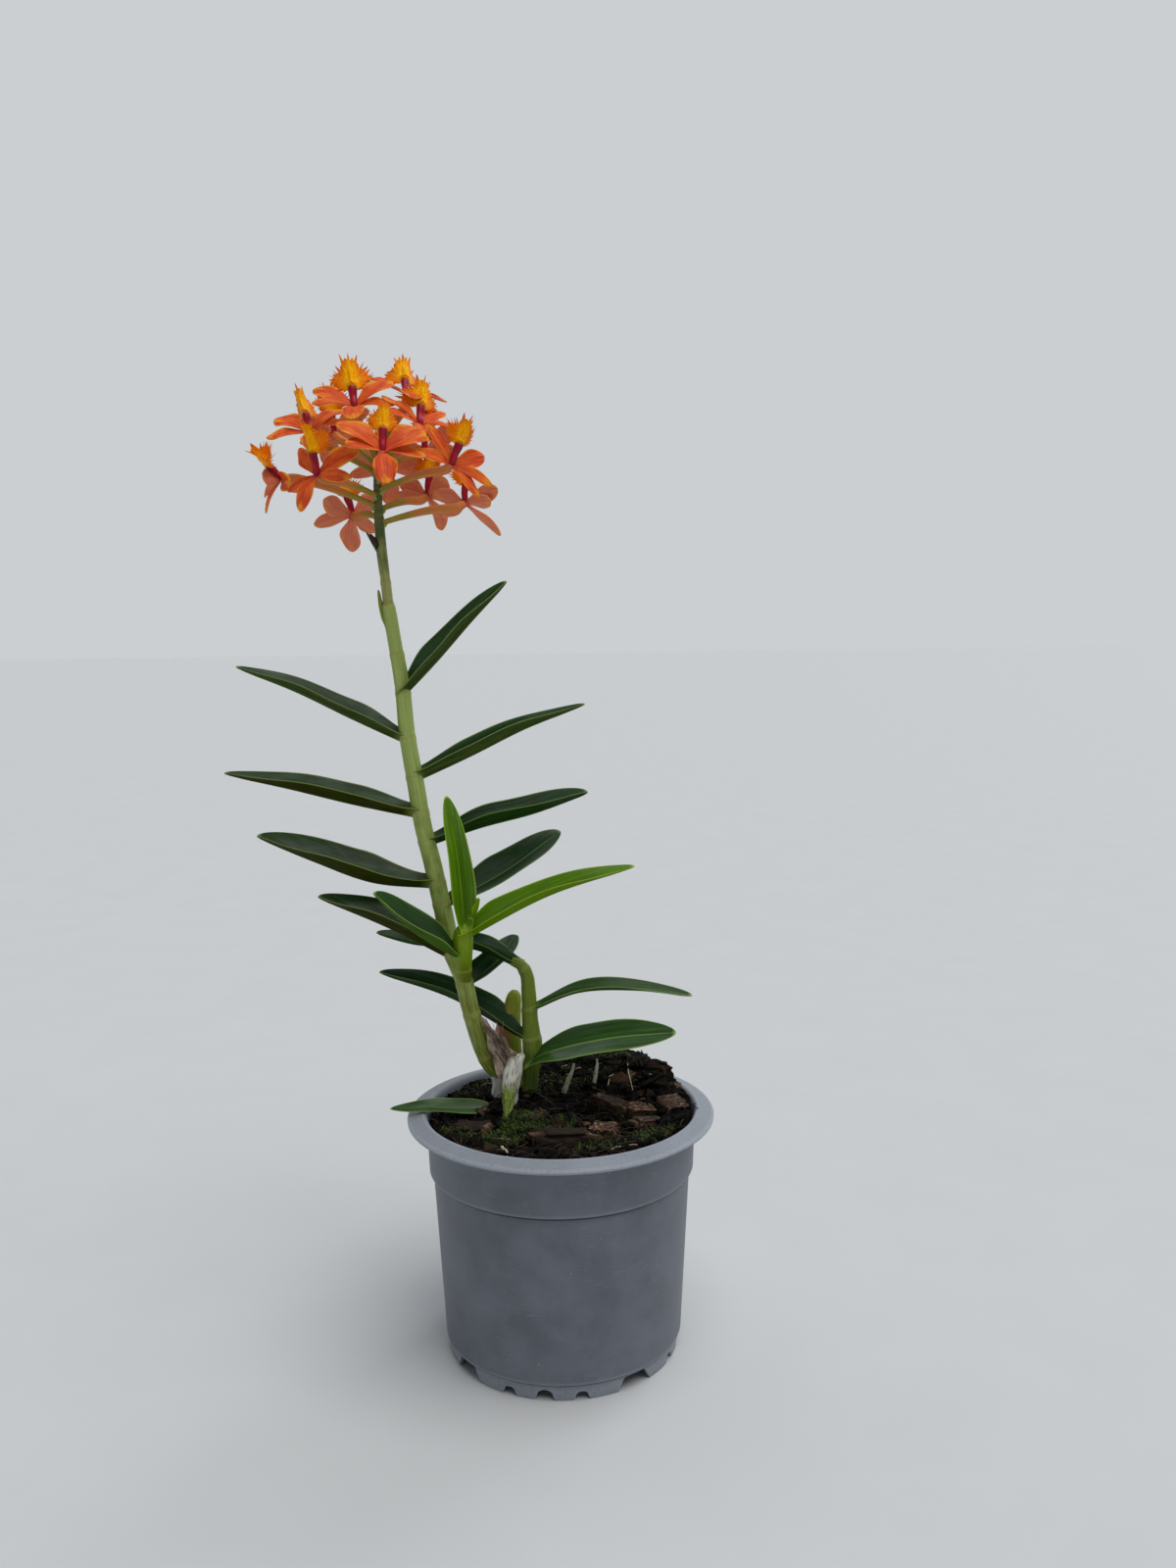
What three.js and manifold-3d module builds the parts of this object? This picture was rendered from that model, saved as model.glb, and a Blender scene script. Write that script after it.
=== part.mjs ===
// Reed-stem epidendrum orchid in flower, growing in a 12 cm nursery pot.
// Millimetres, +Z up. The plant is laid out around the pot's axis, with +X to the right of
// the pot's front and +Y to its back. At the end everything is shifted so that the origin
// is at the middle of the underside of the bounding box.
import * as THREE from 'three';
import { mergeVertices } from 'three/addons/utils/BufferGeometryUtils.js';
import Module from 'manifold-3d';

const wasm = await Module();
wasm.setup();

// ---------------------------------------------------------------- driving dimensions

const GAP = 0.3; // clearance between pieces that touch

const POT = {
  rimRadius: 60,
  rimInnerRadius: 53,
  rimEdgeHeight: 94.4,
  height: 96,
  lip: 1.8,
  wall: 1.1,
  bandHeight: 73, // the stacking step: the wall is wider above it
  bandRadius: 50.6,
  bandStep: 1,
  topRadius: 52.6,
  baseRadius: 46.4,
  footHeight: 6.3,
  footRadius: 45.4,
  footThickness: 1.6,
  floorUnderside: 5.6,
  floorThickness: 1.3,
  segments: 52,
};

// The foot ring is four toothed arcs, with a wide gap between each two.
const FOOT = {
  arcs: 4,
  firstGapAngle: -53,
  gapWidth: 12.5,
  gapHeight: 5,
  notchAngles: [27.5, 45, 62.5], // from one wide gap towards the next
  notchWidth: 4.6,
  notchHeight: 3,
  flare: 0.2, // how much wider each cut is below than above, as a share of its width
  cutDepth: 8, // across the ring, from outside to inside
};

const DRAIN = { count: 8, radius: 3, circle: 37, cutDepth: 4 };

// The mix is level near the wall and heaped round the plant and at the back right.
const MIX = {
  level: 91,
  heaps: [
    { x: -17, y: 12, height: 6.5, spread: 17 },
    { x: 34, y: 36, height: 10, spread: 14 },
  ],
  rings: [44, 36, 28, 20, 12, 6],
  segments: 36,
  lumpHeight: 0.6,
  lumpTurn: 0.55, // radians of the lumps' wave in a millimetre
};

// Stems: a list of [x, y, z, radius] from the base up.
const MAIN_CANE = [
  [-24.5, 9.5, 102, 3.2],
  [-26.5, 9, 104.5, 4.6],
  [-30, 7.5, 112, 4.4],
  [-33, 6.5, 122, 3.6],
  [-35.5, 6, 134, 3.5],
  [-38, 6, 146, 3.6],
  [-42, 6.5, 157, 3.7],
  [-45.5, 7, 174, 3.6],
  [-48.5, 6.5, 190, 3.5],
  [-52, 6, 206, 3.4],
  [-54.5, 4.5, 224, 3.3],
  [-57, 3, 243, 3.1],
  [-58.2, 2, 261, 2.9],
  [-60.5, 1, 278, 2.6],
  [-62.2, 0, 291, 2.4],
];

const FLOWER_STALK = [
  [-62.25, 0, 291.3, 2],
  [-63, 0, 300, 1.9],
  [-64.2, 0, 312, 2],
  [-64.8, 0, 324, 1.8],
  [-65, 0, 336, 1.5],
  [-64.7, 0, 347, 1.1],
];

const SIDE_SHOOT = [
  [-37, 1, 145, 3],
  [-37.2, -2, 157, 3.2],
  [-36.6, -3, 166, 3],
  [-35.6, -3.5, 172, 2],
];

const SECOND_CANE = [
  [-13.2, 11, 97, 3.2],
  [-12, 10, 106, 3.3],
  [-11.2, 10, 116, 4],
  [-12, 10, 127, 3.3],
  [-12.8, 10, 139, 2.8],
  [-13.6, 9.8, 146, 2.2],
  [-15, 9.5, 149.5, 1.6],
];

const YOUNG_SHOOT = [
  [-18.5, 18, 98, 3.4],
  [-19.3, 19.4, 108, 4],
  [-19.6, 20, 121, 3.7],
  [-18.6, 18.8, 130, 2.8],
  [-17.8, 19, 136, 0.9],
];

const RHIZOME = [
  [-22, 10.8, 101, 2.6],
  [-19, 11.5, 100.5, 2.8],
  [-16.5, 11.5, 100.5, 2.4],
];

const ROOTS = {
  aerial_root_front: [
    [-19.5, 6.4, 111, 2],
    [-20.3, 2, 110.5, 2.2],
    [-20.6, -1, 106, 2.2],
    [-20.6, -2.6, 98, 1.9],
    [-20.4, -3.8, 90, 1.4],
  ],
  aerial_root_right: [
    [-16.2, 5.6, 113.5, 1.5],
    [-16.4, 2, 113, 1.6],
    [-16.6, 0.4, 107, 1.5],
    [-16.8, 0, 100, 1.3],
    [-16.9, -0.4, 92, 1.1],
  ],
  aerial_root_back: [
    [-26, 9.2, 99.2, 2.4],
    [-26.2, 8.6, 96, 2.3],
    [-26.4, 8, 92, 2.1],
  ],
  short_root_left: [
    [4.5, 14, 103, 1.2],
    [1.5, 12, 99, 1.4],
    [-0.5, 10.5, 92, 1.4],
  ],
  short_root_right: [
    [14.5, 20, 103, 1.3],
    [13.2, 19, 98, 1.3],
    [12.6, 18, 91, 1.2],
  ],
};

// Leaves: the keel's points from the stem to the tip, the width across both halves, how
// steeply the halves rise from the keel in degrees, and the way the open side looks.
const LEAF = { thickness: 1.1, fold: 50, up: [0, -0.2, 1] };

const MAIN_LEAVES = {
  leaf_right_1: {
    path: [[-58.6, 2, 257], [-44.7, 1.3, 271.1], [-31, 1.3, 286.3], [-17.6, 2, 300.3]],
    width: 15.5,
    up: [-0.2, -0.4, 1],
  },
  leaf_left_1: {
    path: [[-57.2, 3, 239.5], [-78.1, 3, 249.5], [-99.5, 3.3, 260.2], [-122, 4, 269.3]],
    width: 15,
  },
  leaf_right_2: {
    path: [[-55, 4.5, 224.5], [-33.3, 4.2, 234.3], [-11.2, 4.7, 245], [11.5, 6, 253.4]],
    width: 16.5,
  },
  leaf_left_2: {
    path: [[-53.6, 5, 210.5], [-78.3, 4.3, 216.1], [-103.5, 4.3, 222.6], [-127.98, 4.9, 228.7]],
    width: 18,
  },
  leaf_right_3: {
    path: [[-51.2, 6, 199], [-30.6, 8, 205.8], [-8.8, 10, 211.2], [12.2, 12, 218.5]],
    width: 16,
  },
  leaf_left_3: {
    path: [[-48.2, 6.5, 182.5], [-72.1, 4.8, 185.3], [-94.9, 3.7, 194.2], [-116.4, 3, 203.9]],
    width: 22,
  },
  leaf_right_4: {
    path: [[-46, 7, 174], [-19.5, 16, 187.5], [0.8, 26, 201]],
    width: 18,
    fold: 35,
    up: [-0.2, -0.75, 1],
  },
  leaf_left_4: { path: [[-42, 6.5, 153.5], [-64.9, 3, 167], [-93.4, 2, 180]], width: 18 },
  leaf_right_5: {
    path: [[-38, 6.2, 142], [-24.2, 17, 150.4], [-17.8, 26, 158.3]],
    width: 12.6,
    fold: 38,
    up: [-0.2, -0.6, 1],
  },
};

const SIDE_LEAVES = {
  side_leaf_upright: {
    path: [[-35.8, -3.4, 170], [-38.3, -4, 197], [-42.1, -2, 219.3]],
    width: 13,
    up: [0.35, -1, 0],
  },
  side_leaf_right: {
    path: [[-36, -3.2, 166], [-3.2, -6, 181.5], [29.8, -6, 192]],
    width: 16,
    up: [0, -0.35, 1],
  },
  side_leaf_left: {
    path: [[-37.4, -2.5, 155.5], [-53.6, -9.5, 168], [-69, -14, 184.4]],
    width: 16,
    up: [0, -0.35, 1],
  },
  side_leaf_inner: {
    path: [[-33.2, -5.9, 172.5], [-31.2, -7.8, 176], [-30, -8.8, 181]],
    width: 4,
    up: [-1, 0, 0],
  },
};

const SECOND_LEAVES = {
  second_leaf_top: {
    path: [[-15, 9.5, 148.8], [-34, 13, 156.2], [-58, 17, 157.5], [-73.3, 15, 162.5]],
    width: 12,
  },
  second_leaf_left: {
    path: [[-13, 10.6, 118.5], [-43.3, 18, 134.6], [-72.6, 15, 146.3]],
    width: 16.4,
  },
  second_leaf_arched: {
    path: [[-12, 10, 130], [7, 7, 138.5], [30, 4, 140], [52, 0, 139.4]],
    width: 11,
    fold: 40,
  },
  second_leaf_low: {
    path: [[-11, 9, 108.5], [16.8, -4, 119.5], [45, -10, 126.3]],
    width: 20,
    up: [0, -0.45, 1],
  },
};

// A shed leaf that lies across the pot's rim.
const RIM_LEAF = {
  path: [[-29, -2, 95.8], [-41, -4, 96], [-54, -5, 97], [-66.5, -6, 97.2]],
  width: 9,
  fold: 25,
  up: [0, -0.4, 1],
};

// A dry leaf sheath left between the canes.
const HUSK = {
  path: [[-22.5, 5, 107.5], [-26, 3.6, 118], [-30.6, 3, 130.5]],
  width: 9,
  fold: 20,
  up: [0.5, -1, 0],
};

// The pointed end of the cane's last sheath, and the bract low in the flower head with a
// withered bud in its corner.
const CANE_TIP = {
  path: [[-64, -0.4, 286], [-65.8, -0.4, 292], [-67.2, -0.4, 298]],
  width: 4,
  up: [-1, 0, 0.2],
};
const BRACT = { path: [[-64.8, -0.6, 306.5], [-68.5, -0.6, 312.5], [-72.4, -0.6, 319]], width: 3.6 };
const DRY_BUD = [
  [-65.5, -0.5, 313.4, 0.8],
  [-67.6, -0.6, 315.8, 1.3],
  [-69.4, -0.7, 318.4, 0.6],
];

// Flowers: where the petals meet, which way the face looks, which way the lip stands,
// and the height on the stalk where the flower's own stem leaves it.
const FLOWERS = [
  { centre: [-70.2, -14.8, 362.0], face: [-0.01, -0.59, 0.81], lip: [-0.17, 0.8, 0.58], from: 344 },
  { centre: [-53.5, 2, 369.5], face: [0.18, -0.23, 0.96], lip: [-0.3, 0.91, 0.27], from: 346 },
  { centre: [-46.5, -10.5, 355.9], face: [0.43, -0.39, 0.82], lip: [-0.25, 0.82, 0.52], from: 342 },
  { centre: [-58.2, -30, 344.3], face: [0.26, -0.65, 0.71], lip: [-0.14, 0.7, 0.7], from: 338 },
  { centre: [-87.7, -6, 354.8], face: [-0.22, -0.57, 0.79], lip: [-0.24, 0.82, 0.52], from: 340 },
  { centre: [-82.8, -22, 337.2], face: [-0.46, -0.85, 0.25], lip: [0.13, 0.22, 0.97], from: 332 },
  { centre: [-99.4, -6, 339.1], face: [-0.98, -0.18, -0.07], lip: [0.08, -0.7, 0.71], from: 328 },
  { centre: [-34.8, -19.8, 339.9], face: [0.55, -0.8, 0.25], lip: [0.3, 0.45, 0.85], from: 334 },
  { centre: [-32.5, -2, 328.8], face: [0.64, 0.67, 0.38], lip: [-0.32, -0.21, 0.92], from: 322 },
  { centre: [-77.5, 16, 326.7], face: [-0.68, 0.72, 0.15], lip: [0.08, -0.13, 0.99], from: 324 },
  { centre: [-48.5, 16, 333.5], face: [0.52, 0.76, 0.38], lip: [-0.18, -0.34, 0.92], from: 327 },
  { centre: [-66, 30, 346], face: [-0.1, 0.9, 0.45], lip: [0, -0.4, 0.9], from: 336 },
  { centre: [-84, 18, 358], face: [-0.6, 0.55, 0.6], lip: [0.2, -0.5, 0.8], from: 343 },
  { centre: [-49.8, 21.1, 350.5], face: [0.4, 0.8, 0.2], lip: [-0.3, -0.3, 0.9], from: 341 },
];

const FLOWER = {
  // angle from the lip, length, width and forward tilt, in degrees and millimetres
  sepals: [
    { angle: 60, length: 15.5, width: 6.4, tilt: 6 },
    { angle: -60, length: 15.5, width: 6.4, tilt: 6 },
    { angle: 180, length: 14, width: 7.2, tilt: 4 },
  ],
  petals: [
    { angle: 97, length: 14.5, width: 4.4, tilt: 2 },
    { angle: -97, length: 14.5, width: 4.4, tilt: 2 },
  ],
  tepalThickness: 0.5,
  bow: 0.05, // how far the middle of a petal stands forward, as a share of its length
  columnLength: 8,
  columnRadius: 1.3,
  columnTilt: 30, // forward from the lip's direction
  lipThickness: 0.7,
  stemRoot: { x: -64.8, y: 0 }, // in the middle of the stalk
  stemRadius: 1,
  stemSag: 1.5,
  ovaryRadius: 1.5,
  ovaryLength: 5,
};

// The three-lobed lip, seen from the front, with the column's end at the origin.
const LIP_OUTLINE = [
  [-1, -1.4], [1, -1.4], [3, -2.8], [6.4, -1.6], [7.2, 1.8], [4.4, 3.4], [2, 2.8],
  [2.4, 7.4], [0, 6.2], [-2.4, 7.4], [-2, 2.8], [-4.4, 3.4], [-7.2, 1.8], [-6.4, -1.6],
  [-3, -2.8],
];

// Bark: centre, size along its own axes and turn about the upright, in degrees.
const CHUNK_RADIUS = 0.62; // of a twelve-sided chunk about 1 mm across
const BARK = [
  { at: [1, -26, 91.5], size: [20, 9, 5], turn: 8 },
  { at: [17, -20, 91.5], size: [9, 6, 5], turn: -20 },
  { at: [20, 3, 93], size: [14, 6, 5], turn: -35 },
  { at: [31.5, -1.5, 92.6], size: [10, 5, 4.5], turn: 15 },
  { at: [33, -13, 91.6], size: [10, 5, 4], turn: 30 },
  { at: [44.5, -1, 92], size: [8.5, 9, 5], turn: 20 },
  { at: [-38, 2, 92.2], size: [20, 5, 4], turn: -38 },
  { at: [-34, -16, 91.6], size: [14, 7, 4], turn: -30 },
  { at: [-10, -8, 92.6], size: [9, 6, 4], turn: 50 },
];

// ---------------------------------------------------------------- materials

const finish = (color, roughness) => new THREE.MeshStandardMaterial({ color, roughness, metalness: 0 });
const POT_PLASTIC = finish(0x5b6069, 0.5);
const MIX_BROWN = finish(0x1c1611, 0.95);
const BARK_BROWN = finish(0x4a2f22, 0.9);
const STEM_GREEN = finish(0x8ca053, 0.5);
const LEAF_GREEN = finish(0x2c4a22, 0.4);
const YOUNG_GREEN = finish(0x5f9426, 0.4);
const HUSK_BROWN = finish(0x8b7a66, 0.9);
const ROOT_WHITE = finish(0xc4c4b2, 0.85);
const FLOWER_ORANGE = finish(0xe0592c, 0.5);

// ---------------------------------------------------------------- shaping helpers

const vector = ([x, y, z]) => new THREE.Vector3(x, y, z);
const radians = THREE.MathUtils.degToRad;
const STEM_UP = vector([0.1, 1, 0.05]); // along no stem

// A closed geometry as a solid that can be cut and joined.
function solid(geometry) {
  geometry.deleteAttribute('normal');
  geometry.deleteAttribute('uv');
  const merged = mergeVertices(geometry);
  return new wasm.Manifold(new wasm.Mesh({
    numProp: 3,
    vertProperties: new Float32Array(merged.getAttribute('position').array),
    triVerts: new Uint32Array(merged.index.array),
  }));
}

function toGeometry(body) {
  const mesh = body.getMesh();
  const geometry = new THREE.BufferGeometry();
  geometry.setAttribute('position', new THREE.BufferAttribute(mesh.vertProperties, 3));
  geometry.setIndex(new THREE.BufferAttribute(mesh.triVerts, 1));
  geometry.computeVertexNormals();
  return geometry;
}

// The biggest of the pieces that a cut leaves.
function largest(body) {
  const pieces = body.decompose();
  return pieces.reduce((best, piece) => (piece.volume() > best.volume() ? piece : best));
}

// Bends a geometry that stands along y, from -0.5 to 0.5, to follow a smooth curve.
// place(x, t, z) gives the offsets to the side and upward, in millimetres.
function alongCurve(geometry, points, up, place) {
  const curve = new THREE.CatmullRomCurve3(points);
  const position = geometry.getAttribute('position');
  for (let i = 0; i < position.count; i += 1) {
    const t = position.getY(i) + 0.5;
    const spot = curve.getPointAt(t);
    const along = curve.getTangentAt(t);
    const side = new THREE.Vector3().crossVectors(along, up).normalize();
    const lift = new THREE.Vector3().crossVectors(side, along);
    const [across, above] = place(position.getX(i), t, position.getZ(i));
    spot.addScaledVector(side, across).addScaledVector(lift, above);
    position.setXYZ(i, spot.x, spot.y, spot.z);
  }
  return solid(geometry);
}

// The share of a smooth curve's length that lies before each of its points.
function sharesOfLength(points) {
  const steps = 24;
  const lengths = new THREE.CatmullRomCurve3(points).getLengths(steps * (points.length - 1));
  const total = lengths[lengths.length - 1];
  return lengths.filter((length, i) => i % steps === 0).map((length) => length / total);
}

// A round stem through [x, y, z, radius] stations, thicker all round by a margin.
function stem(stations, sides, steps, margin = 0) {
  const points = stations.map(vector);
  const shares = sharesOfLength(points);
  const radiusAt = (t) => {
    const next = Math.max(1, shares.findIndex((share) => share >= t - 1e-6));
    const between = (t - shares[next - 1]) / (shares[next] - shares[next - 1]);
    return THREE.MathUtils.lerp(stations[next - 1][3], stations[next][3], between) + margin;
  };
  const tube = new THREE.CylinderGeometry(1, 1, 1, sides, steps);
  return alongCurve(tube, points, STEM_UP, (x, t, z) => [x * radiusAt(t), z * radiusAt(t)]);
}

// Widest near the stem, then a long even taper to the tip.
const leafOutline = (t) => Math.min(1, 0.6 + 2 * t) * (1 - t ** 3) ** 0.8 + 0.05;
// Narrow at the foot, widest past the middle, with a rounded tip.
const petalOutline = (t) => 0.32 + 0.68 * Math.sin(Math.PI * Math.min(1, t / 0.62) / 2) * (1 - t ** 6);

// A thin blade whose halves rise from the midrib by the fold angle.
function blade(points, up, outline, width, foldDegrees, thickness, columns, steps) {
  const sheet = new THREE.BoxGeometry(2, 1, 2, columns, steps, 1);
  const fold = radians(foldDegrees);
  return alongCurve(sheet, points, up, (x, t, z) => {
    const half = (width / 2) * outline(t);
    const body = (thickness / 2) * (1 - 0.5 * Math.abs(x));
    return [x * half * Math.cos(fold), Math.abs(x) * half * Math.sin(fold) + z * body];
  });
}

function leaf({ path, width, fold = LEAF.fold, up = LEAF.up }) {
  return blade(path.map(vector), vector(up), leafOutline, width, fold, LEAF.thickness, 4, 6);
}

// ---------------------------------------------------------------- the pot

function lathe(profile) {
  const outline = profile.map(([radius, height]) => new THREE.Vector2(radius, height));
  return solid(new THREE.LatheGeometry(outline, POT.segments).rotateX(Math.PI / 2));
}

// The inside of the wall, drawn in by a margin, from the floor to the band and the rim.
function innerWall(margin) {
  const inset = POT.wall + margin;
  return [
    [POT.baseRadius - inset, POT.floorUnderside + POT.floorThickness + margin],
    [POT.bandRadius - inset, POT.bandHeight - 0.4],
    [POT.bandRadius + POT.bandStep - inset, POT.bandHeight + 0.6],
  ];
}

// A bar that cuts the foot ring at an angle, wider below than above.
function footCut(angleDegrees, width, height) {
  const below = (width / 2) * (1 + FOOT.flare);
  const above = (width / 2) * (1 - FOOT.flare);
  const outline = new THREE.Shape();
  outline.moveTo(-below, -1);
  outline.lineTo(below, -1);
  outline.lineTo(above, height);
  outline.lineTo(-above, height);
  const bar = new THREE.ExtrudeGeometry(outline, { depth: FOOT.cutDepth, bevelEnabled: false });
  bar.rotateX(Math.PI / 2).translate(0, FOOT.cutDepth / 2, 0);
  bar.translate(0, POT.footRadius, 0).rotateZ(radians(angleDegrees - 90));
  return solid(bar);
}

function pot() {
  const { footRadius, footHeight, footThickness, floorUnderside } = POT;
  const profile = [
    [0, floorUnderside],
    [footRadius - footThickness, floorUnderside],
    [footRadius - footThickness, 0],
    [footRadius - 0.4, 0],
    [footRadius, 0.6],
    [footRadius + 0.3, footHeight],
    [POT.baseRadius, footHeight + 0.4],
    [POT.bandRadius, POT.bandHeight - 0.4],
    [POT.bandRadius + POT.bandStep, POT.bandHeight],
    [POT.topRadius, POT.rimEdgeHeight - POT.lip],
    [POT.rimRadius - 0.4, POT.rimEdgeHeight - POT.lip],
    [POT.rimRadius, POT.rimEdgeHeight - POT.lip + 0.5],
    [POT.rimRadius, POT.rimEdgeHeight - 0.5],
    [POT.rimRadius - 0.6, POT.rimEdgeHeight],
    [POT.rimInnerRadius, POT.height],
    [POT.topRadius - POT.wall, POT.height - 1],
    ...innerWall(0).reverse(),
    [0, floorUnderside + POT.floorThickness],
  ];
  let body = lathe(profile);
  for (let arc = 0; arc < FOOT.arcs; arc += 1) {
    const start = FOOT.firstGapAngle + (arc * 360) / FOOT.arcs;
    body = body.subtract(footCut(start, FOOT.gapWidth, FOOT.gapHeight));
    for (const angle of FOOT.notchAngles) {
      body = body.subtract(footCut(start + angle, FOOT.notchWidth, FOOT.notchHeight));
    }
  }
  for (let i = 0; i < DRAIN.count; i += 1) {
    const hole = new THREE.CylinderGeometry(DRAIN.radius, DRAIN.radius, DRAIN.cutDepth, 8);
    hole.rotateX(Math.PI / 2).translate(DRAIN.circle, 0, floorUnderside);
    body = body.subtract(solid(hole.rotateZ(radians((i * 360) / DRAIN.count))));
  }
  return body;
}

// ---------------------------------------------------------------- the potting mix and bark

function mixHeight(x, y) {
  let height = MIX.level;
  for (const heap of MIX.heaps) {
    const distance = Math.hypot(x - heap.x, y - heap.y) / heap.spread;
    height += heap.height * Math.exp(-(distance ** 2) / 2);
  }
  const across = MIX.lumpTurn * (x + 0.5 * y);
  const along = MIX.lumpTurn * (y - 0.5 * x);
  return height + MIX.lumpHeight * Math.sin(across) * Math.cos(along);
}

function pottingMix() {
  const wall = innerWall(GAP);
  const edge = wall[2][0];
  const profile = [
    [0, wall[0][1]],
    ...wall,
    [edge, MIX.level],
    ...MIX.rings.map((radius) => [radius, MIX.level]),
    [0, MIX.level],
  ];
  const outline = profile.map(([radius, height]) => new THREE.Vector2(radius, height));
  const geometry = new THREE.LatheGeometry(outline, MIX.segments).rotateX(Math.PI / 2);
  const position = geometry.getAttribute('position');
  for (let i = 0; i < position.count; i += 1) {
    if (position.getZ(i) > MIX.level - 0.01) {
      position.setZ(i, mixHeight(position.getX(i), position.getY(i)));
    }
  }
  return solid(geometry);
}

function barkChip({ at, size, turn }, ground) {
  const chunk = new THREE.DodecahedronGeometry(CHUNK_RADIUS);
  chunk.scale(size[0], size[1], size[2]).rotateZ(radians(turn)).translate(...at);
  return largest(solid(chunk).subtract(ground));
}

// ---------------------------------------------------------------- flowers

function flower({ centre, face, lip, from }, stalk) {
  const middle = vector(centre);
  const forward = vector(face).normalize();
  const right = new THREE.Vector3().crossVectors(vector(lip), forward).normalize();
  const upward = new THREE.Vector3().crossVectors(forward, right);
  const direction = (angle, tilt) => new THREE.Vector3()
    .addScaledVector(upward, Math.cos(radians(angle)) * Math.cos(radians(tilt)))
    .addScaledVector(right, Math.sin(radians(angle)) * Math.cos(radians(tilt)))
    .addScaledVector(forward, Math.sin(radians(tilt)));
  const out = (way, distance) => middle.clone().addScaledVector(way, distance);

  const tepal = ({ angle, length, width, tilt }) => {
    const way = direction(angle, tilt);
    const bowed = out(way, length * 0.55).addScaledVector(forward, length * FLOWER.bow);
    const points = [out(way, 0.3), bowed, out(way, length)];
    return blade(points, forward, petalOutline, width, 0, FLOWER.tepalThickness, 1, 3);
  };

  const columnWay = direction(0, FLOWER.columnTilt);
  const columnEnd = out(columnWay, FLOWER.columnLength);
  const { columnRadius, ovaryRadius, stemRadius, stemRoot } = FLOWER;
  const station = (point, radius) => [point.x, point.y, point.z, radius];
  const columnFoot = out(columnWay, -0.5);
  const column = stem([station(columnFoot, columnRadius), station(columnEnd, columnRadius)], 6, 1);

  const outline = new THREE.Shape(LIP_OUTLINE.map(([x, y]) => new THREE.Vector2(x, y)));
  const plate = new THREE.ExtrudeGeometry(outline, { depth: FLOWER.lipThickness, bevelEnabled: false });
  plate.applyMatrix4(new THREE.Matrix4().makeBasis(right, upward, forward));
  plate.translate(columnEnd.x, columnEnd.y, columnEnd.z);

  const root = new THREE.Vector3(stemRoot.x, stemRoot.y, from);
  const behind = out(forward, -FLOWER.ovaryLength);
  const bend = root.clone().lerp(behind, 0.5);
  bend.z -= FLOWER.stemSag;
  const stations = [
    station(root, stemRadius),
    station(bend, stemRadius),
    station(behind, ovaryRadius),
    station(middle, ovaryRadius),
  ];
  const tepals = [...FLOWER.sepals, ...FLOWER.petals].map(tepal);
  const organs = [stem(stations, 6, 5), column, solid(plate), ...tepals];
  return largest(organs.reduce((body, organ) => body.add(organ)).subtract(stalk));
}

// ---------------------------------------------------------------- assembly

const plant = new THREE.Group();

function add(name, body, material) {
  const mesh = new THREE.Mesh(toGeometry(body), material);
  mesh.name = name;
  plant.add(mesh);
}

const mix = pottingMix();
const ground = mix.translate([0, 0, GAP]);

add('pot', pot(), POT_PLASTIC);
add('potting_mix', mix, MIX_BROWN);
BARK.forEach((chip, i) => add(`bark_chip_${i + 1}`, barkChip(chip, ground), BARK_BROWN));

const aroundMain = stem(MAIN_CANE, 10, 26, GAP);
const aroundSide = stem(SIDE_SHOOT, 8, 6, GAP);
const aroundSecond = stem(SECOND_CANE, 10, 12, GAP);
const aroundStalk = stem(FLOWER_STALK, 8, 10, GAP);

add('main_cane', stem(MAIN_CANE, 10, 26), STEM_GREEN);
add('flower_stalk', stem(FLOWER_STALK, 8, 10), STEM_GREEN);
add('side_shoot', largest(stem(SIDE_SHOOT, 8, 6).subtract(aroundMain)), STEM_GREEN);
add('second_cane', largest(stem(SECOND_CANE, 10, 12).subtract(ground)), STEM_GREEN);
add('young_shoot', largest(stem(YOUNG_SHOOT, 8, 6).subtract(ground).subtract(aroundSecond)), STEM_GREEN);
add('rhizome', largest(stem(RHIZOME, 8, 4).subtract(aroundMain).subtract(aroundSecond)), STEM_GREEN);

const aroundRhizome = stem(RHIZOME, 8, 4, GAP);
for (const [name, stations] of Object.entries(ROOTS)) {
  const root = stem(stations, 8, 6).subtract(ground).subtract(aroundMain).subtract(aroundSecond);
  add(name, largest(root.subtract(aroundRhizome)), ROOT_WHITE);
}

for (const [name, spec] of Object.entries(MAIN_LEAVES)) {
  add(name, largest(leaf(spec).subtract(aroundMain)), LEAF_GREEN);
}
for (const [name, spec] of Object.entries(SIDE_LEAVES)) {
  add(name, largest(leaf(spec).subtract(aroundSide).subtract(aroundMain)), YOUNG_GREEN);
}
for (const [name, spec] of Object.entries(SECOND_LEAVES)) {
  add(name, largest(leaf(spec).subtract(aroundSecond).subtract(aroundMain)), LEAF_GREEN);
}
add('rim_leaf', largest(leaf(RIM_LEAF).subtract(ground)), LEAF_GREEN);

const aroundFrontRoot = stem(ROOTS.aerial_root_front, 8, 6, GAP);
const husk = leaf(HUSK).subtract(aroundMain).subtract(aroundRhizome).subtract(aroundFrontRoot);
add('dry_sheath', largest(husk), HUSK_BROWN);
add('cane_top_sheath', largest(leaf(CANE_TIP).subtract(aroundMain).subtract(aroundStalk)), STEM_GREEN);
add('stalk_bract', largest(leaf(BRACT).subtract(aroundStalk)), STEM_GREEN);
const bud = stem(DRY_BUD, 6, 4).subtract(aroundStalk).subtract(leaf(BRACT));
add('withered_bud', largest(bud), HUSK_BROWN);

FLOWERS.forEach((spec, i) => add(`flower_${i + 1}`, flower(spec, aroundStalk), FLOWER_ORANGE));

// The origin goes to the middle of the underside of everything.
const bounds = new THREE.Box3().setFromObject(plant);
const middle = bounds.getCenter(new THREE.Vector3());
plant.position.set(-middle.x, -middle.y, -bounds.min.z);

export default plant;
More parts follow.
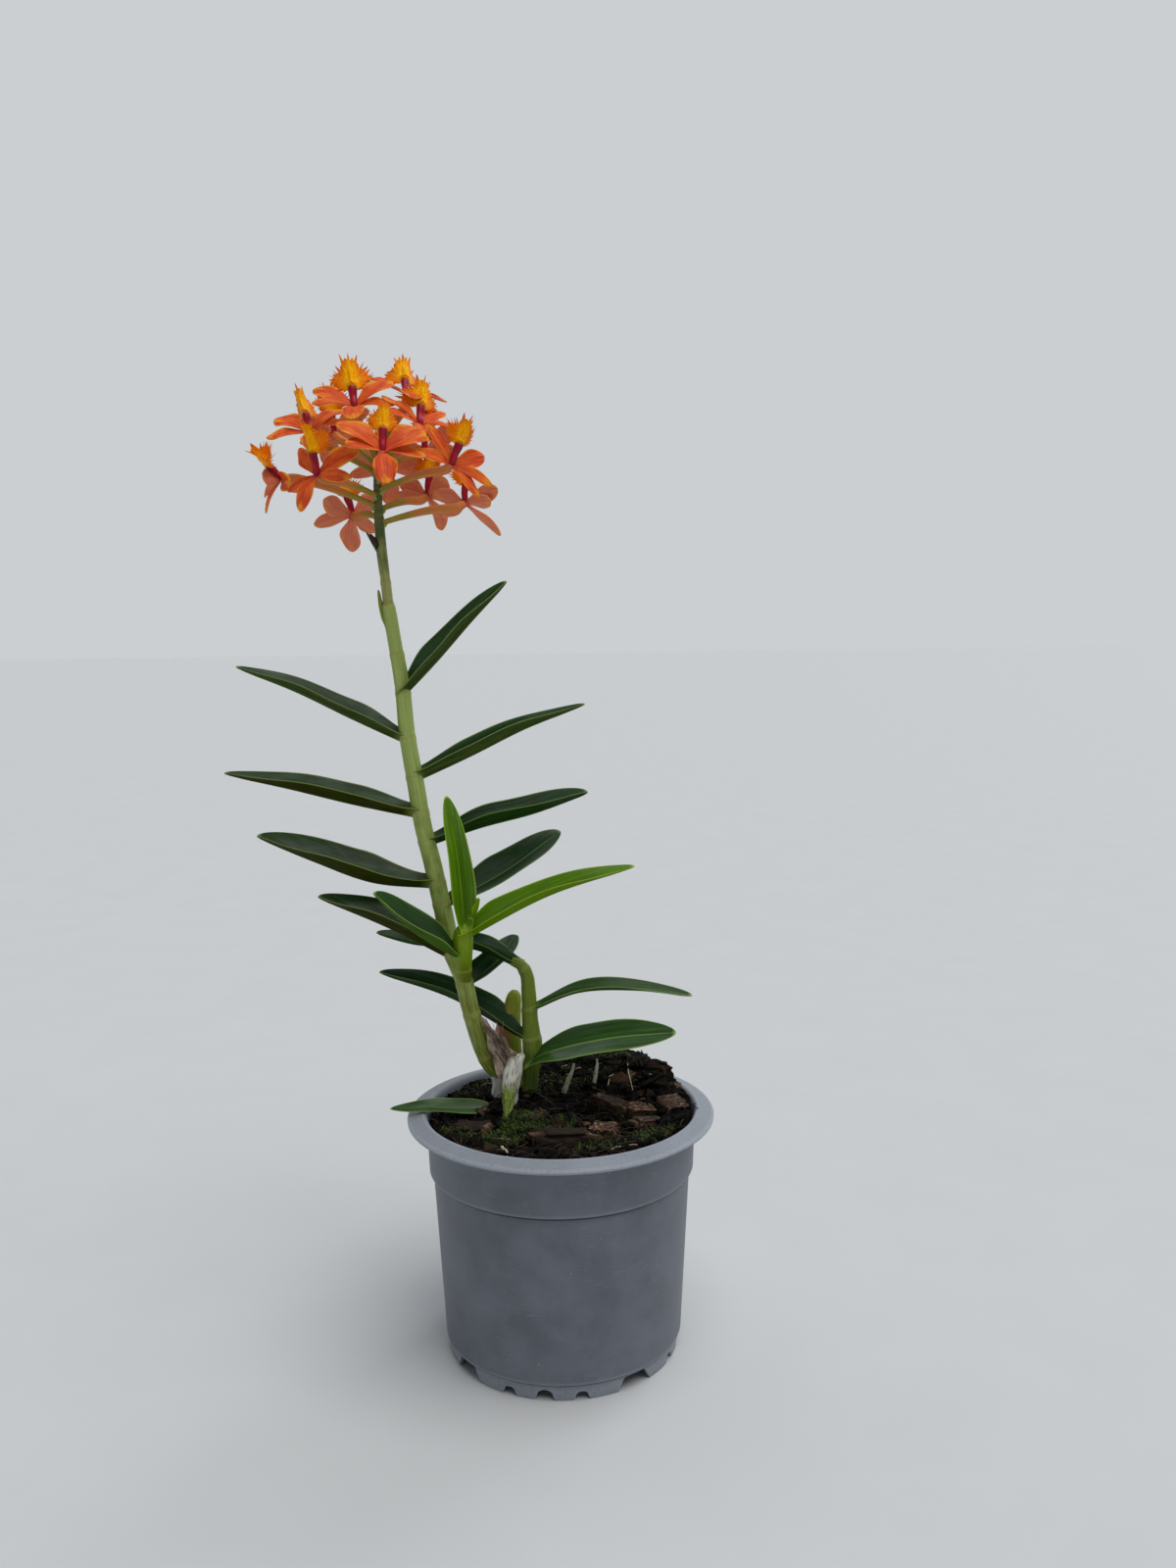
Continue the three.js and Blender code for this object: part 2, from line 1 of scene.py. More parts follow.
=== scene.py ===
"""Looks of a reed-stem epidendrum in flower, growing in a 12 cm nursery pot.

Tables of places hold millimetres from the pot's axis at the height of its foot, with +X to
the right of the pot's front and +Y to its back. Meshes are made in those millimetres and
turned into the frame's metres as they are finished.
"""
import math
import random

import bmesh
import bpy
import numpy as np
from mathutils import Matrix, Vector, noise


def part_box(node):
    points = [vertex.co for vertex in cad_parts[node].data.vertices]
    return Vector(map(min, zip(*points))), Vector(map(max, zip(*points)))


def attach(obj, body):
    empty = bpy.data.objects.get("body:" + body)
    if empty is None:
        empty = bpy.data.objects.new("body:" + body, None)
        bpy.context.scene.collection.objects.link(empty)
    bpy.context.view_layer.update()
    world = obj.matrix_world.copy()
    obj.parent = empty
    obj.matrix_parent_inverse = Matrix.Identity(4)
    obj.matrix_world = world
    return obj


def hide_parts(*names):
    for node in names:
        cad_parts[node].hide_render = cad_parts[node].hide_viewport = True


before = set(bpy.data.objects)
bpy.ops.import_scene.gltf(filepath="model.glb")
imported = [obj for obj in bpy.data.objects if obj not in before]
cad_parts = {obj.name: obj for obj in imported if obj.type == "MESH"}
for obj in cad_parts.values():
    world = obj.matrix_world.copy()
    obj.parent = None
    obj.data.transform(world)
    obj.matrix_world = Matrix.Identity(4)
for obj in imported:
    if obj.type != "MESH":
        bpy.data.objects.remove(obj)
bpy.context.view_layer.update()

MM = 0.001
POT_LOW, POT_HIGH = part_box("pot")
POT_AXIS = np.array([(POT_LOW.x + POT_HIGH.x) / 2, (POT_LOW.y + POT_HIGH.y) / 2, 0.0])
UPRIGHT = np.array([0.0, 0.0, 1.0])

# ------------------------------------------------------------------ driving dimensions

# The pot's outline from the foot up: radius, height and how much painted light makes the
# plastic paler there, on the foot, the band's edge and the rim, or with a negative number how
# much painted shade darkens it, in the grooves at the foot's step, under the band and under the rim.
POT_OUTSIDE = [
    (45.0, 0.0, 0.9), (45.3, 0.5, 0.7), (45.5, 5.5, 0.6), (45.5, 6.0, -0.9), (46.5, 6.4, -1.0),
    (46.75, 6.9, 0.5), (46.8, 8.0, 0.0), (50.35, 71.7, 0.0), (50.1, 72.0, -0.9),
    (50.15, 72.5, -1.0), (51.6, 72.7, -0.8), (51.85, 73.2, 0.35), (51.9, 74.4, 0.05),
    (52.6, 91.0, 0.0), (52.9, 91.9, -0.5), (53.4, 92.2, -0.6), (59.3, 92.4, 0.1),
    (59.9, 92.8, 0.75), (60.0, 93.6, 1.0), (59.6, 94.2, 0.8), (58.6, 94.5, 0.5),
    (54.6, 95.8, 0.5), (53.9, 96.0, 0.8), (53.2, 95.8, 0.6), (52.5, 95.0, 0.3),
]
POT_INSIDE = [(51.9, 93.6, 0.1), (50.6, 74.0, 0.0), (49.6, 71.4, 0.0), (45.6, 8.0, 0.0), (45.2, 6.9, 0.0)]
POT_FLOOR_UNDER = 5.6
POT_FOOT_INSIDE = 43.8
POT_TURNS = 480  # points round each ring

FOOT_ARCS = 4
FOOT_FIRST_GAP = -53
# Cuts in each arc of the foot ring: angle, width, height, the share of its width over which
# a side slopes, and how much of its height is an arch.
FOOT_CUTS = [
    (0, 12.5, 5.2, 0.24, 0.0), (27.5, 5.0, 3.3, 0.18, 0.8), (45, 6.4, 4.2, 0.14, 1.6),
    (62.5, 5.0, 3.3, 0.18, 0.8), (90, 12.5, 5.2, 0.24, 0.0),
]
DRAIN_HOLES = 8
DRAIN_RADIUS = 3
DRAIN_CIRCLE = 37  # radius of the circle that the holes lie on

MIX_LEVEL = 91
MIX_EDGE = 51.2
# The mix's side, against the pot's wall: radius and height.
MIX_WALL = [(44.2, 7.3), (48.8, 70), (50.3, 76), (MIX_EDGE, 91)]
MIX_TURNS = 260
MIX_STEPS = 84
# Heaps of the mix: x, y, height and spread.
MIX_HEAPS = [(-17, 12, 6.5, 17), (30, 33, 9.5, 15), (8, 43, 6.5, 11)]
# Lumps of its surface: size, height and a seed.
MIX_LUMPS = [(8, 1.5, 3.1), (3, 1.1, 7.7), (1.3, 0.7, 1.9)]
# Towards the front and right the mix lies higher against the wall, between two radii.
BANK_WAY = (0.75, -0.65)
BANK_RISE = 3.4
BANK_FROM, BANK_TO = 36, 50

# Crumbs: how many, their smallest and largest radius, and the factors for length and height.
CRUMBS = 2600
CRUMB_SIZE = (0.35, 1.85)
CRUMB_LONG = (1.0, 3.2)
CRUMB_FLAT = (0.25, 0.7)
CRUMB_LUMPS = (0.42, 0.9)  # size and depth as shares of the radius
CRUMB_LEAN = 0.9  # radians
CRUMB_LIFT = 0.3  # share of its radius by which a crumb's middle lies above the ground
# Fibres: how many, and the least and most of their radius, reach and arch.
FIBRES = 560
FIBRE_THICK = (0.09, 0.2)
FIBRE_REACH = (5, 20)
FIBRE_ARCH = (0, 2.2)
FIBRE_BENDS = 4
FIBRE_WANDER = 0.7  # radians by which a fibre turns at most at each bend
# Pale fine roots and straws that stand out on the mix: two ends, arch and radius.
STRAWS = [
    ((25.4, 33.2), (30.3, 8.6), 3.0, 0.28), ((30.1, 23.0), (42.1, 18.3), 2.2, 0.24),
    ((16.6, 11.8), (21.9, 25.8), 2.6, 0.24), ((39.6, 32.6), (39.2, 18.2), 1.0, 0.24),
    ((46.5, 20.1), (43.1, 11.4), 1.2, 0.24), ((13.3, -9.6), (18.0, -18.7), 0.8, 0.26),
    ((18.2, -40.4), (30.3, -38.4), 0.8, 0.30), ((26.8, 7.8), (33.0, -4.2), 1.2, 0.42),
    ((34.8, -6.2), (39.8, -16.4), 1.6, 0.40), ((41.0, 12.0), (27.0, -3.0), 1.4, 0.22),
    ((-30.0, -24.0), (-38.0, -16.0), 0.8, 0.22), ((-22.0, 30.0), (-34.0, 24.0), 1.2, 0.25),
    ((6.0, 34.0), (-8.0, 38.0), 1.4, 0.25), ((-20.5, -35.0), (-18.2, -48.0), 1.8, 0.6),
]
# Patches of moss: middle, reach and how many shoots.
MOSS = [
    (-15, -14, 8, 420), (-22, -26, 8, 220), (16, -32, 10, 200), (34, -28, 9, 190),
    (-38, -20, 8, 120), (-4, -16, 10, 260), (28, 2, 9, 120), (-12, 14, 9, 120), (-34, 18, 10, 100),
    (4, 28, 12, 180), (30, 30, 16, 420),
]
MOSS_HEIGHT = (1.4, 3.0)
MOSS_LEAFLETS = 7
MOSS_LEAFLET = 0.95  # length of the lowest one

# The larger chips of bark: place, size, turn in degrees, and tone from dark to light.
BARK = [
    ([1, -26, 91.5], [20, 9, 5], 8, 0.25), ([17, -20, 91.5], [9, 6, 5], -20, 0.8),
    ([20, 3, 93], [14, 6, 5], -35, 0.45), ([31.5, -1.5, 92.6], [10, 5, 4.5], 15, 0.9),
    ([33, -13, 91.6], [10, 5, 4], 30, 0.5), ([44.5, -1, 92], [8.5, 9, 5], 20, 0.6),
    ([-38, 2, 92.2], [20, 5, 4], -38, 0.15), ([-34, -16, 91.6], [14, 7, 4], -30, 0.3),
    ([-10, -8, 92.6], [9, 6, 4], 50, 0.35),
]
# Half of a chip's size, a little over because its ragged skin lies inside its box.
CHIP_GROWTH = [0.54, 0.58, 0.62]
CHIP_LIFT = 0.7

# Stems: [x, y, z, radius] from the base up.
MAIN_CANE = [
    [-21.2, 10, 105.6, 2.2], [-22.9, 9.6, 106.2, 3.4], [-26, 8.8, 108.8, 4.3],
    [-29.3, 7.6, 114, 4.1], [-32, 6.8, 120.5, 3.6],
    [-35.5, 6, 134, 3.5], [-38, 6, 146, 3.6], [-42, 6.5, 157, 3.7], [-45.5, 7, 174, 3.6],
    [-48.5, 6.5, 190, 3.5], [-52, 6, 206, 3.4], [-54.5, 4.5, 224, 3.3], [-57, 3, 243, 3.1],
    [-58.2, 2, 261, 2.9], [-60.5, 1, 278, 2.6], [-62.2, 0, 291, 2.35], [-62.4, 0, 292.6, 1.8],
]
FLOWER_STALK = [
    [-62.1, 0, 290, 2.1], [-63, 0, 300, 1.9], [-64.2, 0, 312, 2], [-64.8, 0, 324, 1.8],
    [-65, 0, 336, 1.5], [-64.7, 0, 347, 1.1],
]
SIDE_SHOOT = [
    [-37.3, 6, 143, 2.2], [-37.4, 2.8, 149, 2.9], [-37.2, -1.2, 157, 3.5],
    [-36.7, -2.8, 164, 3.6], [-36.4, -3.3, 168, 2.4], [-36.3, -3.4, 170, 0.8],
]
SECOND_CANE = [
    [-13.2, 11, 93, 3.2], [-12, 10, 106, 3.3], [-11.2, 10, 116, 4], [-12, 10, 127, 3.3],
    [-12.4, 10, 139, 2.9], [-13.1, 9.8, 146, 2.6], [-15.4, 9.5, 150, 2.3], [-19, 10, 151.4, 1.6],
]
YOUNG_SHOOT = [
    [-19, 18, 94, 3.6], [-21.4, 18.8, 108, 5.4], [-21.6, 19, 119, 5.2],
    [-19.6, 19, 130, 3.4], [-18.6, 19, 135.5, 2.3], [-18.3, 19, 137, 1],
]
RHIZOME = [[-24, 10, 106, 2.2], [-20, 11.5, 103, 2.6], [-14.5, 11, 101, 2.4]]
STEM_UP = [0.1, 1, 0.05]
CURVE_STEPS = 24  # points between two stations of a smooth curve
GOLDEN_TURN = 2.4  # radians from one bud or leaflet to the next round a stem
# Nodes of a cane: the height and reach of the ridge, the depth, reach and place of the waist
# above it, and the reach and place of the coloured ring. Places count from the node upwards.
NODE_RIDGE = (0.16, 0.9)
NODE_WAIST = (0.08, 1.4, 2.2)
NODE_RING = (0.45, 0.8)
# Heights of the nodes, apart from those that carry the main cane's leaves or a flower.
NODES = {
    "main_cane": [131, 113.5, 273, 291.5], "side_shoot": [150.5, 167],
    "second_cane": [110, 119.5, 131.5, 148], "rhizome": [100.8], "flower_stalk": [292, 300],
}
LEAF_NODE = 1.5  # how far a node lies above the foot of its leaf
BLUSH = (22, 11)  # how far up the young shoot its pink side is, and its reach
# Colours at a stem's base, further up, and on its rings.
STEM_COLOURS = {
    "cane": ((0.130, 0.155, 0.012), (0.30, 0.38, 0.10), (0.30, 0.24, 0.07)),
    "cane_older": ((0.060, 0.095, 0.018), (0.13, 0.18, 0.014), (0.24, 0.23, 0.07)),
    "young_cane": ((0.125, 0.150, 0.011), (0.17, 0.27, 0.003), (0.26, 0.36, 0.03)),
    "shoot": ((0.20, 0.24, 0.015), (0.22, 0.27, 0.02), (0.46, 0.10, 0.085)),
    "flower_stalk": ((0.33, 0.34, 0.105), (0.055, 0.092, 0.022), (0.36, 0.14, 0.04)),
    "withered_bud": ((0.010, 0.007, 0.006), (0.030, 0.018, 0.012), (0.05, 0.03, 0.02)),
}
# On the flower stalk, a scale under each flower's stem and buds at the top. Each row is how
# far out it is, its lift and its radius.
STALK_SCALE = [(0, 0, 0.9), (1.9, 0, 0.8), (3.6, 1.2, 0.15)]
STALK_BUD = [(0, 0, 0.5), (2.2, 0, 1.1), (4.2, 0, 0.25)]
STALK_BUDS = 5
STALK_TOP = [-64.7, 0, 345.5]

ROOTS = {
    "aerial_root_front": [
        [-17.8, 7.5, 111.5, 2.0], [-19.0, 2, 111.5, 2.5], [-19.9, -1, 107, 2.8],
        [-20.5, -4.2, 100, 2.4], [-20.7, -6.8, 95.5, 1.8], [-20.8, -9.5, 92.5, 1.2],
        [-20.8, -11, 90, 0.7],
    ],
    "aerial_root_right": [
        [-15.4, 7, 113.4, 1.4], [-16.2, 2, 113.8, 1.7], [-16.9, 0.2, 108, 1.6],
        [-18.0, 0.6, 101, 1.2], [-18.4, 1.6, 90, 1.0],
    ],
    "aerial_root_back": [[-25.2, 8.6, 106, 2.3], [-25.5, 7.4, 98, 2.3], [-25.8, 6.4, 89, 2.1]],
    "short_root_left": [
        [5.4, 14.8, 107.5, 0.3], [4.0, 13.8, 104, 0.75], [1.5, 12, 98, 1.0], [-0.5, 10.5, 90, 1.1],
    ],
    "short_root_right": [
        [14.6, 20, 107.5, 0.25], [14.2, 19.6, 103, 0.65], [13.2, 19, 97, 0.9], [12.6, 18, 89, 1.0],
    ],
}

# Leaves: the keel's points from the stem to the tip, the width across both halves, the fold
# of each half from flat in degrees, and the way the open side looks. A high taper keeps the
# width far out, rise is the share of the length over which the leaf widens, foot is the
# share of its width that it starts from, and wave is how far its margins ripple.
LEAF_USUAL = dict(fold=50, taper=2.6, rise=0.34, foot=0.5, up=[0, -0.2, 1], thickness=1.0, wave=0.35)
LEAF_ROWS = 64
LEAF_WAVES = 1.7  # ripples along a margin
LEAF_HALF = 9  # steps from a leaf's midrib to its margin
# Shares of a leaf's thickness: its margin's, and the keel's and midrib groove's height, each
# with how far it reaches across the half.
LEAF_MARGIN = 0.24
LEAF_KEEL = (0.35, 0.12)
LEAF_GROOVE = (0.18, 0.09)
LEAVES = {
    "leaf_right_1": dict(
        path=[[-58.6, 2, 257], [-44.7, 1.3, 271.1], [-31, 1.3, 286.3], [-17.6, 2, 300.3]],
        width=16.5, taper=2.7, up=[-0.2, -0.4, 1], look="leaf_olive"),
    "leaf_left_1": dict(
        path=[[-57.2, 3, 239.5], [-78.1, 3, 249.5], [-99.5, 3.3, 260.2], [-122, 4, 269.3]],
        width=15.6, taper=2, look="leaf_olive"),
    "leaf_right_2": dict(
        path=[[-55, 4.5, 224.5], [-33.3, 4.2, 234.3], [-11.2, 4.7, 245], [11.5, 6, 253.4]],
        width=18.3, taper=1.3, look="leaf_olive"),
    "leaf_left_2": dict(
        path=[[-53.6, 5, 210.5], [-78.3, 4.3, 216.1], [-103.5, 4.3, 222.6], [-128.5, 4.9, 228.3]],
        width=19.2, taper=2.1, look="leaf_red"),
    "leaf_right_3": dict(
        path=[[-51.2, 6, 199], [-30.6, 8, 205.8], [-8.8, 10, 211.2], [12.2, 12, 218.5]],
        width=17.5, taper=5, rise=0.45, foot=0.45, look="leaf_dark"),
    "leaf_left_3": dict(
        path=[[-48.2, 6.5, 182.5], [-72.1, 4.8, 185.3], [-94.9, 3.7, 194.2], [-116.4, 3, 203.9]],
        width=23.8, taper=3.3, rise=0.45, foot=0.42, look="leaf_red"),
    "leaf_right_4": dict(
        path=[[-46, 7, 174], [-19.5, 16, 187.5], [0.8, 26, 201]],
        width=19, fold=30, taper=4, rise=0.5, foot=0.4, up=[-0.2, -0.75, 1], look="leaf_dark"),
    "leaf_left_4": dict(
        path=[[-42, 6.5, 153.5], [-64.9, 3, 167], [-93.4, 2, 180]],
        width=20, taper=3, rise=0.45, foot=0.35, look="leaf_red"),
    "leaf_right_5": dict(
        path=[[-38, 6.2, 142], [-24.2, 17, 150.4], [-17.8, 26, 158.3]],
        width=14, fold=38, taper=4, up=[-0.2, -0.6, 1], look="leaf_dark"),
    "side_leaf_upright": dict(
        path=[[-35.9, -3.2, 166], [-38.3, -4, 197], [-42.1, -2, 219.3]],
        width=14, foot=0.55, up=[0.35, -1, 0], look="leaf_young"),
    "side_leaf_right": dict(
        path=[[-37, -2.8, 163.5], [-3.2, -6, 181.5], [29.8, -6, 192]],
        width=17, taper=1.8, rise=0.24, up=[0, -0.35, 1], look="leaf_young"),
    "side_leaf_left": dict(
        path=[[-37.4, -2.5, 155.5], [-53.6, -9.5, 168], [-69, -14, 184.4]],
        width=17, taper=3.5, foot=0.3, up=[0, -0.35, 1], look="leaf_fresh"),
    "side_leaf_inner": dict(
        path=[[-33.2, -5.9, 172.5], [-31.2, -7.8, 176], [-30, -8.8, 181]],
        width=4, up=[-1, 0, 0], look="leaf_young"),
    "second_leaf_top": dict(
        path=[[-15, 9.5, 148.8], [-34, 13, 156.2], [-58, 17, 157.5], [-73.3, 15, 162.5]],
        width=14, taper=4, rise=0.3, foot=0.45, look="leaf_dark"),
    "second_leaf_left": dict(
        path=[[-13, 10.6, 118.5], [-43.3, 18, 134.6], [-72.6, 15, 146.3]],
        width=19, taper=3, foot=0.3, look="leaf_dark"),
    "second_leaf_arched": dict(
        path=[[-12, 9.5, 131.5], [7, 7, 139.6], [30, 4, 141.2], [52, 0, 139.4]],
        width=10.8, fold=34, taper=4, rise=0.4, foot=0.45, look="leaf_fresh"),
    "second_leaf_low": dict(
        path=[[-14, 7, 109.5], [-8, 4.6, 114.2], [16.8, -3, 122.8], [45, -9.5, 127.4]],
        width=20.5, fold=14, taper=4, rise=0.4, foot=0.3, up=[0, -0.45, 1], look="leaf_fresh"),
    "rim_leaf": dict(
        path=[[-24, -1, 91.5], [-30, -2, 94.8], [-41, -4, 96.2], [-54, -5, 97], [-66.5, -6, 97.2]],
        width=9.6, fold=25, up=[0, -0.4, 1], look="leaf_fresh"),
}
# The face's and the back's green, the midrib's and margin's paler one, and how much lighter
# than the rest the light veins are.
LEAF_COLOURS = {
    "leaf_dark": ((0.007, 0.024, 0.006), (0.011, 0.032, 0.004), (0.13, 0.22, 0.05), 2.9),
    "leaf_olive": ((0.010, 0.029, 0.008), (0.028, 0.046, 0.008), (0.16, 0.23, 0.06), 2.9),
    "leaf_red": ((0.009, 0.028, 0.005), (0.017, 0.022, 0.0004), (0.17, 0.23, 0.045), 2.9),
    "leaf_fresh": ((0.013, 0.038, 0.006), (0.040, 0.088, 0.006), (0.18, 0.30, 0.06), 2.4),
    "leaf_young": ((0.070, 0.160, 0.002), (0.125, 0.240, 0.003), (0.27, 0.42, 0.02), 1.55),
}
# The cane's last sheath and the bract look the same on both sides: their dark, light and
# margin colours, roughness and gloss.
SCRAP_LOOKS = {
    "sheath_tip": ((0.19, 0.24, 0.04), (0.28, 0.33, 0.06), (0.30, 0.26, 0.07), 0.5, 0.08),
    "bract": ((0.07, 0.11, 0.02), (0.13, 0.18, 0.04), (0.16, 0.20, 0.06), 0.45, 0.1),
}
HUSK = dict(
    path=[[-20.2, 4.2, 109.5], [-24.6, 3.2, 118.5], [-30.8, 3, 131]],
    width=12, fold=20, up=[0.5, -1, 0], thickness=0.5, wave=1.2)
# Loose strands over its lower part: how many, the box that they start in, and how far they run.
HUSK_STRANDS = 26
HUSK_FEET = [(-26, -19), (2.5, 5), (107, 118)]
HUSK_RUN = [(-1, -5), (0.5, -1.5), (5, 13)]
CANE_TIP = dict(
    path=[[-62.8, -0.4, 283], [-64.5, -0.4, 290.5], [-66, -0.4, 297.5]],
    width=3.6, up=[-1, 0, 0.2], thickness=0.7, wave=0.0)
BRACT = dict(
    path=[[-64.6, -0.6, 309.5], [-67.2, -0.9, 314.5], [-69.6, -0.9, 319]], width=2.6, thickness=0.6)
DRY_BUD = [[-65, -1.2, 313.4, 0.8], [-66.8, -1.6, 315.6, 1.2], [-68.3, -1.7, 318, 0.5]]

# Flowers: where the petals meet, which way the face looks, which way the lip stands, the
# height on the stalk where the flower's own stem leaves it, the lip's size, how far the
# lip's side lobes are folded back, and for each sepal and petal its angle from the lip, its
# length, forward tilt and, where it isn't the usual one, its width.
STALK_X = -64.8
TEPAL_WIDTHS = [8.2, 8.2, 8.8, 6.0, 6.0]
FLOWER_USUAL = dict(
    size=0.85, fold=0.1, tepals=[(62, 17, 6), (-62, 17, 6), (180, 15, 4), (97, 15, 2), (-97, 15, 2)])
FLOWERS = [
    dict(centre=[-70.2, -14.3, 362.2], face=[-0.01, -0.59, 0.81], lip=[-0.17, 0.8, 0.58],
         start=344, size=1.0,
         tepals=[(60, 17.8, 15), (-57, 17.3, 14), (183, 14.9, 11), (96, 15, 2), (-93, 15.2, 13)]),
    dict(centre=[-53.5, 2, 369.5], face=[0.18, -0.23, 0.96], lip=[-0.3, 0.91, 0.27],
         start=346, size=1.05, fold=0.45,
         tepals=[(69, 17.9, -2), (-59, 17, 5), (180, 15, 4), (97, 15, 2), (-96, 15.2, 14)]),
    dict(centre=[-47.2, -12, 356.2], face=[0.43, -0.39, 0.82], lip=[-0.25, 0.82, 0.52],
         start=342, size=0.95, fold=0.2,
         tepals=[(40, 16.5, 12), (-58, 17.1, 11), (180, 15, 3), (92, 14.5, 11), (-96, 15, 2)]),
    dict(centre=[-58.2, -30, 344.3], face=[0.26, -0.65, 0.71], lip=[-0.14, 0.7, 0.7],
         start=338, size=0.76, fold=0.25,
         tepals=[(61, 18.3, 17, 11), (-61, 18.6, 12, 11), (177, 15.3, -4, 9.2),
                 (95, 15.2, 5, 7.4), (-99, 13.9, 11, 7.4)]),
    dict(centre=[-87.7, -6, 354.8], face=[-0.22, -0.57, 0.79], lip=[-0.24, 0.82, 0.52],
         start=340, size=0.95, fold=1.0,
         tepals=[(57, 16.5, 2), (-49, 16.7, 18), (180, 15, 4), (97, 15, 1), (-92, 16.5, 13)]),
    dict(centre=[-82.8, -22, 337.2], face=[-0.46, -0.85, 0.25], lip=[0.13, 0.22, 0.97],
         start=332, size=0.88, fold=0.45,
         tepals=[(58, 18.3, -4), (-45, 15, 5, 6), (190, 15.3, 16), (96, 15, 2, 5.2),
                 (-112, 14, 0, 4.4)]),
    dict(centre=[-99.4, -6, 338], face=[-0.98, -0.18, -0.07], lip=[0.08, -0.7, 0.71],
         start=328, size=0.72, fold=0.5,
         tepals=[(45, 11, 40, 7.5), (59, 12, -14, 7.5), (-152, 17, 31, 4.6), (-152, 12, -34, 6),
                 (-176, 18, 26, 4.2)]),
    dict(centre=[-35.4, -19, 340.7], face=[0.55, -0.8, 0.25], lip=[0.1, 0.4, 0.9],
         start=334, size=0.80, fold=0.45,
         tepals=[(56, 15, 2, 7.5), (-48, 16.5, 5, 5.2), (126, 15, 8, 4.8), (98, 17, 6, 4.6),
                 (-88, 14, 2, 5.4)]),
    dict(centre=[-32.5, -2, 328.8], face=[0.64, 0.67, 0.38], lip=[-0.32, -0.21, 0.92], start=322,
         tepals=[(67, 16.9, 2, 6.4), (-84, 17.4, 11, 7), (199, 17.8, 21, 5.2), (96, 15, 2),
                 (-97, 15, 2)]),
    dict(centre=[-77.5, 16, 326.7], face=[-0.68, 0.72, 0.15], lip=[0.08, -0.13, 0.99], start=324,
         tepals=[(69, 16, -6), (-60, 17, 6), (183, 14.1, 5), (104, 16.6, 12), (-115, 14.8, 13)]),
    dict(centre=[-48.5, 16, 333.5], face=[0.52, 0.76, 0.38], lip=[-0.18, -0.34, 0.92], start=327,
         tepals=[(70, 16.3, 11), (-62, 16.3, -10), (184, 14.7, 13), (86, 16.2, -11), (-97, 15, 2)]),
    dict(centre=[-66, 30, 346], face=[-0.1, 0.9, 0.45], lip=[0, -0.4, 0.9], start=336),
    dict(centre=[-84, 18, 358], face=[-0.6, 0.55, 0.6], lip=[0.2, -0.5, 0.8], start=343),
    dict(centre=[-49.8, 21.1, 350.5], face=[0.4, 0.8, 0.2], lip=[-0.3, -0.3, 0.9], start=341),
]
# A flower's own stem, in rows like STALK_SCALE's: first as shares of the way to the flower's
# back, then along the way it faces. STEM_RIB is the height of its six ribs.
FLOWER_STEM = [(0, 0, 0.85), (0.3, 0.8, 1.05), (0.68, 1.0, 1.4)]
FLOWER_NECK = [(-4.5, 0, 1.65), (-1.6, 0, 1.5), (0.3, 0, 1.15)]
STEM_RIB = 0.13
TEPAL_ROWS = 28
TEPAL_HALF = 6  # steps from a tepal's midrib to its margin
TEPAL_HALF_THICK = 0.26
TEPAL_GROOVE = 0.22
TEPAL_CRUMPLE = 0.16
# The column: how far out along it, how far towards the face, and radius. The lip sits where
# it is COLUMN_LENGTH long, just short of its end.
COLUMN = [
    (0, -1, 1.1), (1.2, 0, 1.15), (4.2, -0.4, 1.25), (7.14, 0, 1.5), (8.4, 0, 1.35), (9.2, 0, 0.6),
]
COLUMN_LENGTH = 8.4
COLUMN_TILT = 32  # degrees by which it leans forward

# The lip's outline without its fringe, as reach at angles from its tip, and the shares of
# that reach at which its rings of points lie.
LIP_ANGLES = [0, 13, 21, 32, 45, 58, 72, 88, 104, 122, 180]
LIP_REACH = [10.4, 10.8, 8.8, 8.9, 9.2, 8.6, 7.2, 5.4, 3.8, 2.4, 1.8]
LIP_STEPS = [0.1, 0.2, 0.3, 0.4, 0.5, 0.6, 0.7, 0.78, 0.86, 0.93, 1.0]
LIP_TURNS = 306
LIP_TEETH = 51
LIP_TOOTH = 2.6
LIP_TALL_TOOTH = 2.2  # at the tip and to either side of it
LIP_TIP_FORWARD = 34  # degrees by which the blade tips forward from the flower's own plane
LIP_HALF_THICK = 0.22
LIP_HINGE = 1.2  # how far from the midline the side lobes start to fold
LIP_FOLD = 68  # degrees by which they fold back where a flower's fold is 1

# Where the sky turns from dim to light: along +Y, and from high up down to the horizon.
SKY_BACK = (-0.4, 0.6)
SKY_LOW = (0.46, 0.24)
FLOOR_SIZE = 60  # metres
# Lamps: name, the place they shine from, spread in degrees, power, colour and gloss.
LAMPS = [
    ("key", (0.45, -0.45, 1.6), 50, 2.1, (1.0, 0.985, 0.96), 1.0),
    ("rim", (0.9, 1.0, 0.9), 25, 0.5, (0.92, 0.97, 1.0), 0.15),
]
# The camera stands to the front, as high as the topmost leaves, and looks a little down.
CAMERA_SPOT = (12.2, -485.2, 277.4)
CAMERA_DOWN = 6.40  # degrees, as is the roll
CAMERA_ROLL = -0.68
LENS = 29.25
SENSOR = 36


# ------------------------------------------------------------------ mesh helpers

def stack(*parts):
    """Numbers side by side, each given for every point or only once."""
    return np.stack(np.broadcast_arrays(*parts), axis=-1)


def circle(radius, turn, height):
    """Points of a level circle round the upright axis, at angles in radians."""
    return stack(radius * np.cos(turn), radius * np.sin(turn), height)


def skin_faces(rows, columns):
    """Quads between closed rings of points that are laid out ring by ring, and a fan over
    each end, round the two middle points that come last."""
    around = [(i, (i + 1) % columns) for i in range(columns)]
    faces = []
    for row in range(rows - 1):
        a, b = row * columns, (row + 1) * columns
        faces += [[a + i, a + j, b + j, b + i] for i, j in around]
    first_middle, last = rows * columns, (rows - 1) * columns
    for i, j in around:
        faces += [[first_middle, j, i], [first_middle + 1, last + i, last + j]]
    return faces


